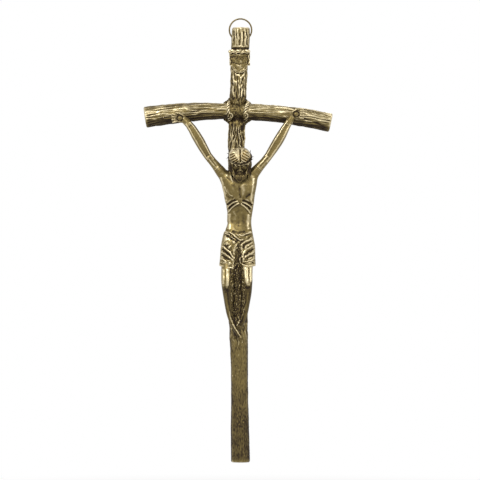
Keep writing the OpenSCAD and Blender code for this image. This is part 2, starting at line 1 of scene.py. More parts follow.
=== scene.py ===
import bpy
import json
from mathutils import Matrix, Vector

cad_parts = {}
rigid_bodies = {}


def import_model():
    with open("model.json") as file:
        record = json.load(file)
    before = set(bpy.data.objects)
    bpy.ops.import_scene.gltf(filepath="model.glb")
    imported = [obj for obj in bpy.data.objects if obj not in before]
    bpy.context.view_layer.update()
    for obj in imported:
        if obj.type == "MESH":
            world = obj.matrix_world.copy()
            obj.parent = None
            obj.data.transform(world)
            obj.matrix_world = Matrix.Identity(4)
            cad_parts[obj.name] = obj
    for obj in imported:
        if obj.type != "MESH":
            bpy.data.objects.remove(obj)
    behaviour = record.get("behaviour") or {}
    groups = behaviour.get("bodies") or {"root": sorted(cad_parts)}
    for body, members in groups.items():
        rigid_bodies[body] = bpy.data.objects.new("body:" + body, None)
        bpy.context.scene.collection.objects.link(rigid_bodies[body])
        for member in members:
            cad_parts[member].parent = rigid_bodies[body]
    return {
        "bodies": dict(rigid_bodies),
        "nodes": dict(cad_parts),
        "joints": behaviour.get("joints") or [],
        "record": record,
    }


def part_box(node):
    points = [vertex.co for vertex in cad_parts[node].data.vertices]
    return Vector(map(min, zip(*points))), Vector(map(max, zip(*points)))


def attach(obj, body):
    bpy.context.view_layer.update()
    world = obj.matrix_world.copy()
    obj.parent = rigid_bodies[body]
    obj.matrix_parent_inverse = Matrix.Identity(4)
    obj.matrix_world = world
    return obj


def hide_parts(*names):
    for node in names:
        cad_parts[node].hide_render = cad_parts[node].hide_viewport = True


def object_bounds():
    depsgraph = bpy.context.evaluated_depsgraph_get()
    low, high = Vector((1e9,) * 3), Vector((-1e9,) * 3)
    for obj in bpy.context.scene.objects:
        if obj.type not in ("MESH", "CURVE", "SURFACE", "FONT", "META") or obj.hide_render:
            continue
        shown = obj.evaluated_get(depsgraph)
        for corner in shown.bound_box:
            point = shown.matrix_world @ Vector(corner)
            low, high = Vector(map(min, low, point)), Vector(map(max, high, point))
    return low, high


bl_info = {
    "name": "Log crucifix in antique brass",
    "version": (1, 0, 0),
    "blender": (4, 5, 0),
    "location": "View3D > Sidebar > Crucifix",
    "description": "Builds the visible pieces of a wall crucifix over its construction frame",
    "category": "Object",
}

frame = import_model()

import json
import math

import bpy
import numpy as np
from mathutils import Vector
from bpy.props import FloatProperty, FloatVectorProperty, IntProperty, PointerProperty

CAD_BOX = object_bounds()


# ---------------------------------------------------------------- construction
# Millimetres from the crossing, the same stations as the construction has.

UPRIGHT_H, TOP_RISE, UPRIGHT_D, UPRIGHT_BOW = 254.0, 49.0, 10.0, 2.1
UPRIGHT_FOOT = TOP_RISE - UPRIGHT_H
UPRIGHT_AXIS = 0.26 * UPRIGHT_D
BOW = [
    (0, 0.86), (0.07, 0.71), (0.14, 0.64), (0.21, 0.55), (0.26, 0.48), (0.3, 0.31), (0.42, 0.05),
    (0.55, -0.24), (0.72, -0.25), (0.768, -0.17), (0.807, 0), (0.845, 0.2), (0.893, 0.42),
    (0.925, 0.6), (0.95, 0.76), (0.975, 0.9), (1, 1),
]
UPRIGHT_GIRTH = [
    (0, 1.1), (0.07, 1.08), (0.14, 1), (0.21, 1), (0.26, 1.04), (0.3, 1.08), (0.42, 1.06),
    (0.55, 1.02), (0.72, 0.98), (0.768, 0.95), (0.845, 0.95), (0.893, 0.96), (0.925, 0.99),
    (0.95, 1.05), (0.975, 1.08), (1, 1.03),
]
BEAM_LEFT, BEAM_RIGHT, BEAM_D, DROOP_RADIUS, DROOP_APEX = 54.0, 54.6, 9.4, 290.0, 8.0
BEAM_AXIS = 0.37 * BEAM_D
BEAM_GIRTH = [
    (0, 1.27), (0.08, 1.25), (0.13, 1.21), (0.21, 1.2), (0.305, 1.08), (0.38, 1.01), (0.43, 0.98),
    (0.5, 0.98), (0.6, 1), (0.725, 1.03), (0.82, 1.08), (0.9, 1.12), (1, 1.14),
]
STEP_DEPTH, STEP_FLOOR = 2.5, TOP_RISE - 10.6
EYE_Z, EYE_Y, EYE_BEND, EYE_WIRE = TOP_RISE - 7.9, -1.43, 0.94, 0.8
RING_R, RING_WIRE = 6.5, 0.9
SCROLL_X, SCROLL_BACK = 1.315, 6.62
MM = 1000


def table(rows, share):
    """The table's value at a share of its length."""
    xs, ys = zip(*rows)
    return np.interp(share, xs, ys)


def upright_x(z):
    """Middle line of the bowed upright at a height."""
    share = (np.asarray(z, float) - UPRIGHT_FOOT) / UPRIGHT_H
    return UPRIGHT_BOW * (table(BOW, share) - table(BOW, -UPRIGHT_FOOT / UPRIGHT_H))


def upright_r(z):
    """Radius of the upright at a height."""
    return UPRIGHT_D / 2 * table(UPRIGHT_GIRTH, (np.asarray(z, float) - UPRIGHT_FOOT) / UPRIGHT_H)


def droop_angle(x):
    """Angle of the crossbeam on its large radius, at a distance from the crossing."""
    return np.arcsin((np.asarray(x, float) + DROOP_APEX) / DROOP_RADIUS)


DROOP_START, DROOP_END = droop_angle(-BEAM_LEFT), droop_angle(BEAM_RIGHT)
DROOP_TOP = DROOP_RADIUS * (1 - math.cos(droop_angle(0)))


def beam_z(x):
    """Height of the crossbeam's middle line."""
    return DROOP_TOP - DROOP_RADIUS * (1 - np.cos(droop_angle(x)))


def upright_front(z):
    """Foremost y of the upright at a height, without its bark."""
    return -(UPRIGHT_AXIS + upright_r(z))


# ---------------------------------------------------------------- values a user changes


class CrossLogs(bpy.types.PropertyGroup):
    bark_depth: FloatProperty(
        name="Bark depth", description="Height of the bark's veins over its cracks",
        default=0.00075, min=0.0, max=0.002, unit="LENGTH",
    )
    bark_width: FloatProperty(
        name="Bark ridge width", description="Usual distance between two fissures",
        default=0.0014, min=0.0006, max=0.004, unit="LENGTH",
    )
    mesh_step: FloatProperty(
        name="Mesh step", description="Distance between two points round a log",
        default=0.00023, min=0.0001, max=0.001, unit="LENGTH",
    )


class CrossRopes(bpy.types.PropertyGroup):
    strand: FloatProperty(
        name="Strand thickness", description="Thickness of one strand of the lashings",
        default=0.001, min=0.0006, max=0.002, unit="LENGTH",
    )
    lay: FloatProperty(
        name="Lay", description="Length of rope in which a strand goes once round",
        default=0.0056, min=0.003, max=0.012, unit="LENGTH",
    )
    strands: IntProperty(
        name="Strands", description="Number of strands in a rope", default=3, min=2, max=5
    )


class CrossFigure(bpy.types.PropertyGroup):
    clay_step: FloatProperty(
        name="Clay step", description="Grain of the clay that the figure is modelled in",
        default=0.00022, min=0.00012, max=0.0006, unit="LENGTH",
    )
    relief: FloatProperty(
        name="Relief", description="Strength of the ribs, folds and hair, as a share of their modelled height",
        default=1.0, min=0.0, max=1.5, subtype="FACTOR",
    )
    thorn_length: FloatProperty(
        name="Thorn length", description="Length of the crown's thorns",
        default=0.0016, min=0.0005, max=0.003, unit="LENGTH",
    )


class CrossFinish(bpy.types.PropertyGroup):
    # Also the colour of the painted highlights that the tone lays on
    crest_and_highlight: FloatVectorProperty(
        name="Worn brass", description="Colour of the rubbed edges",
        subtype="COLOR", size=3, min=0, max=1, default=(0.64, 0.54, 0.33),
    )
    body: FloatVectorProperty(
        name="Brass", description="Colour of the toned brass",
        subtype="COLOR", size=3, min=0, max=1, default=(0.190, 0.142, 0.052),
    )
    # Also the colour of the painted shade that the tone lays on
    patina_and_shade: FloatVectorProperty(
        name="Patina", description="Colour of the brown patina in the recesses",
        subtype="COLOR", size=3, min=0, max=1, default=(0.029, 0.018, 0.0105),
    )
    wear: FloatProperty(
        name="Wear", description="How far the rubbed edges spread over the surface",
        default=0.0, min=-1.0, max=1.0, subtype="FACTOR",
    )


class CrossStudio(bpy.types.PropertyGroup):
    distance: FloatProperty(
        name="Camera distance", description="Distance of the camera from the crucifix",
        default=2.4, min=0.5, max=10.0, unit="LENGTH",
    )
    frame_width: FloatProperty(
        name="Frame width", description="Width of the picture at the crucifix",
        default=0.28013, min=0.1, max=1.0, unit="LENGTH",
    )
    key: FloatProperty(
        name="Key lamp", description="Strength of the large lamp in front and above",
        default=9.0, min=0.0, max=100.0, unit="POWER",
    )
    fill: FloatProperty(
        name="Fill", description="Strength of the pale room round the crucifix",
        default=0.42, min=0.0, max=1.0,
    )
    floor: FloatVectorProperty(
        name="Floor", description="Colour of the floor",
        subtype="COLOR", size=3, min=0, max=1, default=(0.86, 0.86, 0.86),
    )


class CrossValues(bpy.types.PropertyGroup):
    logs: PointerProperty(type=CrossLogs)
    ropes: PointerProperty(type=CrossRopes)
    figure: PointerProperty(type=CrossFigure)
    finish: PointerProperty(type=CrossFinish)
    studio: PointerProperty(type=CrossStudio)


def values():
    return bpy.context.scene.crucifix


# ---------------------------------------------------------------- small tools


def smooth(lo, hi, x):
    """Rises from nought at lo to one at hi, with a soft start and end; falls where lo is above hi."""
    t = np.clip((x - lo) / (hi - lo), 0, 1)
    return t * t * (3 - 2 * t)


def hump(x, width, power=2):
    """One where x is nought, falling off to nothing on both sides."""
    return np.exp(-(x / width) ** power)


def noise(x, y, z, seed=0):
    """Smooth random height, about -0.8 to 0.8, at points of a unit lattice."""
    x, y, z = np.broadcast_arrays(*(np.asarray(v, float) for v in (x, y, z)))
    cell = [np.floor(v).astype(np.int64) for v in (x, y, z)]
    part = [v - c for v, c in zip((x, y, z), cell)]
    fade = [p * p * p * (p * (p * 6 - 15) + 10) for p in part]
    total = np.zeros(x.shape)
    for i in (0, 1):
        for j in (0, 1):
            for k in (0, 1):
                h = (cell[0] + i) * 73856093 ^ (cell[1] + j) * 19349663 ^ (cell[2] + k) * 83492791
                h = (h ^ (seed * 26544357 + 97)) & 0xFFFFFFFF
                h = ((h ^ (h >> 15)) * 2246822519) & 0xFFFFFFFF
                h = ((h ^ (h >> 13)) * 3266489917) & 0xFFFFFFFF
                h ^= h >> 16
                slope = [((h >> s) & 1023) / 511.5 - 1 for s in (0, 10, 20)]
                dot = sum(g * (p - o) for g, p, o in zip(slope, part, (i, j, k)))
                weight = np.ones(x.shape)
                for f, o in zip(fade, (i, j, k)):
                    weight *= f if o else 1 - f
                total += dot * weight
    return total * 1.2


def run_along(points):
    """Distance along a path at each of its points."""
    return np.concatenate([[0], np.cumsum(np.linalg.norm(np.diff(points, axis=0), axis=1))])


def curve_through(points, count):
    """Points at even distances on a smooth curve through the given ones."""
    p = np.array(points, float)
    p = np.vstack([2 * p[0] - p[1], p, 2 * p[-1] - p[-2]])
    fine = []
    for a, b, c, d in zip(p, p[1:], p[2:], p[3:]):
        for t in np.linspace(0, 1, 16, endpoint=False):
            fine.append(0.5 * (
                2 * b + (c - a) * t + (2 * a - 5 * b + 4 * c - d) * t * t + (3 * b - a - 3 * c + d) * t ** 3
            ))
    fine = np.array([*fine, p[-2]])
    run = run_along(fine)
    at = np.linspace(0, run[-1], count)
    return np.stack([np.interp(at, run, column) for column in fine.T], axis=1)


def around(faces):
    """Both ends of every side of every face."""
    a = faces.ravel()
    b = np.roll(faces, -1, axis=1).ravel()
    return np.concatenate([a, b]), np.concatenate([b, a])


def relief_of(points, faces, passes):
    """How far each point stands proud (positive) or lies sunk (negative), in mm, of the smoothed skin."""
    a, b = around(faces)
    n = len(points)
    count = np.maximum(np.bincount(a, minlength=n), 1)
    flat = points
    kept = {}
    for i in range(1, max(passes) + 1):
        flat = np.stack([np.bincount(a, weights=flat[b, k], minlength=n) / count for k in range(3)], axis=1)
        if i in passes:
            kept[i] = flat
    u = points[faces[:, 2]] - points[faces[:, 0]]
    v = points[faces[:, 3]] - points[faces[:, 1]]
    face_normal = np.cross(u, v)
    normal = np.stack(
        [np.bincount(faces.ravel(), weights=np.repeat(face_normal[:, k], 4), minlength=n) for k in range(3)],
        axis=1,
    )
    normal /= np.maximum(np.linalg.norm(normal, axis=1), 1e-9)[:, None]
    return [np.einsum("ij,ij->i", points - kept[i], normal) for i in passes]


def piece(name, points, faces, body, nodes, finish, tone=0.0, wear=(5, 28), scale=(13.0, 3.6), sharp=50):
    """Makes a mesh piece from points in mm, with its worn and sunk places as one attribute and its tone, painted
    highlights and painted shade among it, as another.
    """
    points = np.asarray(points, float)
    faces = np.asarray(faces, np.int64)
    if np.einsum("ij,ij->i", points[faces[:, 0]], np.cross(points[faces[:, 1]], points[faces[:, 2]])).sum() < 0:
        faces = faces[:, ::-1]
    near, wide = relief_of(points, faces, wear)
    height = np.tanh(near * scale[0]) * 0.55 + np.tanh(wide * scale[1]) * 0.45
    mesh = bpy.data.meshes.new(name)
    mesh.vertices.add(len(points))
    mesh.vertices.foreach_set("co", (points * 0.001).astype(np.float32).ravel())
    mesh.loops.add(faces.size)
    mesh.loops.foreach_set("vertex_index", faces.astype(np.int32).ravel())
    mesh.polygons.add(len(faces))
    mesh.polygons.foreach_set("loop_start", np.arange(0, faces.size, 4, dtype=np.int32))
    mesh.polygons.foreach_set("loop_total", np.full(len(faces), 4, np.int32))
    mesh.update(calc_edges=True)
    mesh.validate()
    mesh.polygons.foreach_set("use_smooth", np.ones(len(mesh.polygons), bool))
    mesh.set_sharp_from_angle(angle=math.radians(sharp))
    for label, data in (("relief", height), ("tone", np.broadcast_to(tone, height.shape))):
        layer = mesh.attributes.new(label, "FLOAT", "POINT")
        if len(layer.data) != len(data):
            raise RuntimeError(f"{name}: its mesh lost points")
        layer.data.foreach_set("value", np.ascontiguousarray(data, np.float32))
    mesh.materials.append(brass(finish))
    thing = bpy.data.objects.new(name, mesh)
    bpy.context.scene.collection.objects.link(thing)
    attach(thing, body)
    if nodes:
        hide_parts(*nodes)
    return thing


def grid_faces(rows, columns):
    """Quads of a grid that closes round its columns."""
    i = np.arange(rows - 1)[:, None] * columns
    j = np.arange(columns)[None, :]
    k = (j + 1) % columns
    return np.stack([i + j, i + k, i + columns + k, i + columns + j], axis=-1).reshape(-1, 4)


def closed_grid(rings):
    """Points and quads of a skin through rings, its first and last ring drawn in to close the ends."""
    rings = np.asarray(rings, float)
    rows, columns = rings.shape[:2]
    points = rings.reshape(-1, 3)
    faces = grid_faces(rows, columns)
    ends = []
    for row, flip in ((0, True), (rows - 1, False)):
        base = row * columns
        for j in range(columns // 2 - 1):
            quad = [base + j, base + j + 1, base + columns - 2 - j, base + columns - 1 - j]
            ends.append(quad[::-1] if flip else quad)
    return points, np.vstack([faces, np.array(ends)])


def join(parts):
    """One set of points and quads from several."""
    points, faces, n = [], [], 0
    for p, f in parts:
        points.append(p)
        faces.append(f + n)
        n += len(p)
    return np.vstack(points), np.vstack(faces)


def directions(path):
    """Along, side and up at every point of a path, without a twist between them."""
    along = np.gradient(path, axis=0)
    along /= np.linalg.norm(along, axis=1)[:, None]
    side = np.zeros_like(path)
    guess = np.array([0.0, 1.0, 0.0]) if abs(along[0][1]) < 0.9 else np.array([1.0, 0.0, 0.0])
    for i, way in enumerate(along):
        s = guess - way * np.dot(guess, way)
        side[i] = guess = s / np.linalg.norm(s)
    return along, side, np.cross(along, side)


def tube(path, radius, sides=16, bump=None):
    """Round tube along a path, its ends rounded. radius is a number or one per point of the path."""
    path = np.asarray(path, float)
    radius = np.broadcast_to(radius, (len(path),)).astype(float)
    along, side, up = directions(path)
    tip = (0.15, 0.6, 0.9)
    rows = [(path[0] - along[0] * radius[0] * math.sqrt(1 - k * k), radius[0] * k, side[0], up[0]) for k in tip]
    rows += zip(path, radius, side, up)
    rows += [
        (path[-1] + along[-1] * radius[-1] * math.sqrt(1 - k * k), radius[-1] * k, side[-1], up[-1])
        for k in reversed(tip)
    ]
    t = np.linspace(0, 2 * math.pi, sides, endpoint=False)
    cos, sin = np.cos(t)[:, None], np.sin(t)[:, None]
    points, faces = closed_grid([c + r * (cos * s + sin * u) for c, r, s, u in rows])
    if bump is not None:
        out = points - np.repeat(np.array([row[0] for row in rows]), sides, axis=0)
        out /= np.maximum(np.linalg.norm(out, axis=1), 1e-9)[:, None]
        points = points + out * bump(points)[:, None]
    return points, faces


def rope(path, thick, strand, lay, strands, phase=0.0, seed=0):
    """Twisted rope along a path, every strand a tube of its own: its points, quads and tone."""
    sides = 14
    path = curve_through(path, max(24, int(len(path) * 8)))
    _, side, up = directions(path)
    run = run_along(path)
    middle = np.repeat(np.vstack([path[:1]] * 3 + [path] + [path[-1:]] * 3), sides, axis=0)
    skins, tones = [], []
    for k in range(strands):
        turn = phase + 2 * math.pi * (run / lay + k / strands)
        centre = path + (thick - strand) / 2 * (np.cos(turn)[:, None] * side + np.sin(turn)[:, None] * up)
        fibre = lambda p, k=k: 0.035 * noise(*(p.T * 3.1), seed + k)
        skins.append(tube(centre, strand / 2, sides, bump=fibre))
        depth = np.linalg.norm(skins[-1][0] - middle, axis=1) / (thick / 2)
        tones.append(0.7 * smooth(0.84, 0.98, depth) - 1.6 * smooth(0.88, 0.68, depth))
    return (*join(skins), np.concatenate(tones))


# ---------------------------------------------------------------- logs


def bark(across, along, seed, depth, width, sway=1.0):
    """Height of the bark in mm: thin raised veins on a calm body, with narrow cracks between."""
    bend = 1.5 * noise(across / 6, along / 10, 0.5, seed) + 0.95 * noise(across / 2.2, along / 3.0, 1.5, seed + 1)
    bend = bend * sway
    a = (across + bend) / width

    def line(wide, long, sharp, number):
        return (1 - np.minimum(np.abs(noise(a / wide, along / long, number + 0.5, seed + number)) * sharp, 1)) ** 1.4

    veins = 0.74 * line(1.7, 9, 3.2, 2) + 0.44 * line(1.1, 5, 3.0, 3)
    cracks = line(1.7, 10, 3.6, 4) * smooth(-0.25, 0.3, noise(across / 5, along / 9, 6.5, seed + 7))
    fibre = 0.07 * noise(across * 1.9, along / 1.7, 5.5, seed + 5)
    swell = 0.25 * noise(across / 3.5, along / 6.5, 7.5, seed + 6)
    return depth * (veins - 0.45 - 0.6 * cracks + swell) + fibre


FRONT_ARC, BACK_POINTS = 1.62, 12


def log_skin(stations, place, radius, axis, seed, step, back_of, shape, cover):
    """Skin of a log whose back is cut flat. place(s) gives the centre line, its side and its run;
    cover(across, s) gives the height of the bark."""
    r_max = max(radius(s) for s in stations)
    front, wing = int(2 * FRONT_ARC * r_max / step), max(int(0.6 * r_max / step), 6)
    rings = []
    for s in stations:
        centre, side, _ = place(s)
        r, back = radius(s), back_of(s)
        reach = math.acos(max(min((back - axis) / r, 1), -1))
        low = min(FRONT_ARC, reach - 0.02)
        arc = np.concatenate([
            np.linspace(-reach, -low, wing + 1)[:-1], np.linspace(-low, low, front),
            np.linspace(low, reach, wing + 1)[1:],
        ])
        r = r + cover(arc * r, s) * smooth(reach, reach - 0.35, np.abs(arc))
        x, y = r * np.sin(arc), np.minimum(-axis - r * np.cos(arc), -back)
        back_x = np.linspace(x[-1], x[0], BACK_POINTS + 2)[1:-1]
        back_y = np.minimum(0.05 * noise(back_x / 2, s / 3, 7.5, seed) - back, -back)
        ring = shape(s, np.stack([np.concatenate([x, back_x]), np.concatenate([y, back_y])], axis=1))
        points = centre + side * ring[:, :1]
        points[:, 1] = ring[:, 1]
        rings.append(points)
    return np.array(rings)


def end_rings(ring, along, seed, sign):
    """Rings from a log's last section to its middle: a rounded rim, then growth rings."""
    middle = ring.mean(axis=0)
    made = []
    for s in (0.985, 0.955, 0.91, 0.85, 0.78, 0.7, 0.62, 0.54, 0.46, 0.38, 0.3, 0.22, 0.14, 0.06):
        p = middle + (ring - middle) * s
        out = 0.55 * (1 - smooth(0.9, 1.0, s))
        if s < 0.9:
            out = out + 0.09 * math.sin(s * 5.2 / 0.9 * 6.28) + 0.12 * noise(*(p.T / 0.9), seed)
        made.append(p + along * sign * np.reshape(out, (-1, 1)))
    return made


# Splits and plates of the block above the scroll, long veins below it, and a groove round the scroll's tongue which
# the tone paints dark as the tongue's shadow: height, width, path of x and z
SPLITS = [
    (-0.45, 0.34, [(-2.2, 47), (-1.9, 43.9), (-2.3, 40.6)]),
    (0.3, 0.5, [(-1.4, 48), (-1.2, 43.9), (-0.9, 39.8), (-1.4, 37.3)]),
    (-0.32, 0.3, [(-0.6, 45.4), (-0.4, 42)]), (0.26, 0.6, [(0.1, 48), (0.35, 42.7), (-0.3, 38.6)]),
    (-0.3, 0.34, [(1.4, 45.6), (1.6, 41.5), (1.2, 38.2)]), (-0.42, 0.34, [(3.3, 46.8), (3.7, 41.5), (3.2, 37.6)]),
    (0.34, 0.4, [(4.4, 47.9), (5.1, 43.2), (4.7, 41), (5.2, 37.6)]),
    (-0.42, 0.32, [(5.3, 46.4), (5.8, 42.8), (5.4, 38.6)]),
    (0.22, 0.6, [(6.5, 47.9), (6.5, 38.6)]), (0.22, 0.6, [(-3, 47.9), (-3.2, 39.6)]),
    (0.42, 0.5, [(-2.4, 21), (-2, 17), (-2.5, 12), (-2, 7.6)]),
    (-0.3, 0.36, [(-0.3, 20.6), (0.2, 16), (-0.6, 10.4), (-0.4, 7)]),
    (0.4, 0.45, [(2.4, 20.4), (1.9, 17.6), (2.7, 13.4), (2.2, 8)]), (0.26, 0.4, [(4.3, 20), (4, 14.4), (4.4, 8.6)]),
    (-0.26, 0.34, [(3.4, 19.6), (3.2, 13), (3.6, 8)]), (0.26, 0.4, [(0.9, 15.4), (1.3, 11.4), (0.8, 7.4)]),
    (-0.26, 0.34, [(-3.4, 19.6), (-3.2, 12), (-3.5, 7.6)]),
    (-0.3, 0.5, [(-4.6, 26.6), (-2.9, 24.6), (-0.6, 22.4), (1.3, 21.6), (3.3, 22.4), (5.2, 24.8), (6.2, 26.6)]),
]


def splits(points):
    """Height of these splits and veins at points on the upright's front."""
    return shade(points, SPLITS, -3.6, 1.0, 0.3)


def upright_skin(v):
    """Rings of the upright's skin from its foot to its top."""
    depth_mm, width_mm, step = v.bark_depth * MM, v.bark_width * MM, v.mesh_step * MM
    stations = np.concatenate([
        np.arange(UPRIGHT_FOOT + 0.55, STEP_FLOOR, step * 1.9),
        [STEP_FLOOR - 0.02, STEP_FLOOR + 0.02],
        np.arange(STEP_FLOOR + 0.2, TOP_RISE - 0.5, step * 1.7),
    ])
    scroll_back = upright_front(31) + 1.0

    def place(z):
        return np.array([float(upright_x(z)), 0, z]), np.array([1.0, 0, 0]), np.array([0, 0, 1.0])

    def depth(z):
        calm = smooth(-112, -146, z)
        return depth_mm * (1 - 0.96 * calm) * (0.98 - 0.16 * smooth(2, 8, z))

    def shape(z, ring):
        ring = ring.copy()
        x, y = ring[:, 0], ring[:, 1]
        # A dip under the beam, the beam's seat and the scroll's upper edge
        for dip in (1.1 * hump(z + 4.4, 1.7) * smooth(5.5, 3.0, np.abs(x)), 0.9 * hump(z - 0.3, 4.2, 4),
                    0.55 * hump(z - 36.6, 0.55)):
            y += np.where(y < -4, dip, 0)
        if 22.2 < z < 35.9:
            y[:] = np.maximum(y, scroll_back)
        return ring

    def cover(across, z):
        top, sway = float(smooth(35.5, 37.5, z)), 1 - 0.5 * float(smooth(2, 8, z))
        lift = bark(
            across, np.full_like(across, z * (1 - 0.5 * top)), 11, depth(z) * (1 - 0.72 * top),
            width_mm * (1 + 0.4 * top), sway * (1 - 0.6 * top),
        )
        knot = hump(z - 2, 6.5)
        lumps = 0.16 * noise(across / 0.8, z / 0.8, 9.5, 71)
        lift = lift * (1 - 0.8 * knot) + knot * lumps
        calm = smooth(-120, -146, z)
        dents = 0.16 * noise(across / 3.6, z / 7, 6.5, 45) + 0.03 * noise(across / 1.3, z / 2.2, 4.5, 47)
        dents += 0.09 * smooth(0.42, 0.62, noise(across / 0.8, z / 0.9, 8.5, 46))
        return lift + calm * dents

    rings = log_skin(
        stations, place, lambda z: float(upright_r(z)), UPRIGHT_AXIS, 11, step,
        lambda z: STEP_DEPTH if z > STEP_FLOOR else 0.0, shape, cover,
    )
    skin = rings.reshape(-1, 3)
    skin[:, 1] -= splits(skin)
    return rings


def beam_skin(v):
    """Rings of the crossbeam's skin with their stations, and the place of each station."""
    depth_mm, width_mm, step = v.bark_depth * MM, v.bark_width * MM, v.mesh_step * MM
    tip = 0.55 / DROOP_RADIUS
    count = int((BEAM_LEFT + BEAM_RIGHT) / (step * 1.8))
    stations = np.linspace(DROOP_END - tip, DROOP_START + tip, count)

    def place(a):
        centre = np.array([DROOP_RADIUS * math.sin(a) - DROOP_APEX, 0, DROOP_TOP - DROOP_RADIUS * (1 - math.cos(a))])
        return centre, np.array([math.sin(a), 0, math.cos(a)]), np.array([math.cos(a), 0, -math.sin(a)])

    def radius(a):
        return BEAM_D / 2 * float(table(BEAM_GIRTH, (a - DROOP_START) / (DROOP_END - DROOP_START)))

    def cover(across, a):
        run = DROOP_RADIUS * a - DROOP_APEX
        lift = bark(across, np.full_like(across, run / 2.0), 23, depth_mm * 0.56, width_mm * 0.66, 0.35)
        lift += 0.3 * noise(across / 2.6, run / 4.2, 3.5, 24) * (0.5 + 0.5 * smooth(12, 45, abs(run)))
        knot = hump(run, 5.0, 4)
        lumps = 0.14 * noise(across / 1.2, run / 1.2, 9.5, 72) + 0.14 * noise(across / 0.7, run / 0.7, 1.5, 73)
        return lift * (1 - 0.82 * knot) + knot * lumps

    rings = log_skin(
        stations, place, radius, BEAM_AXIS, 23, step, lambda a: 0.0, lambda a, ring: ring, cover,
    )
    return rings, stations, place


# ---------------------------------------------------------------- clay


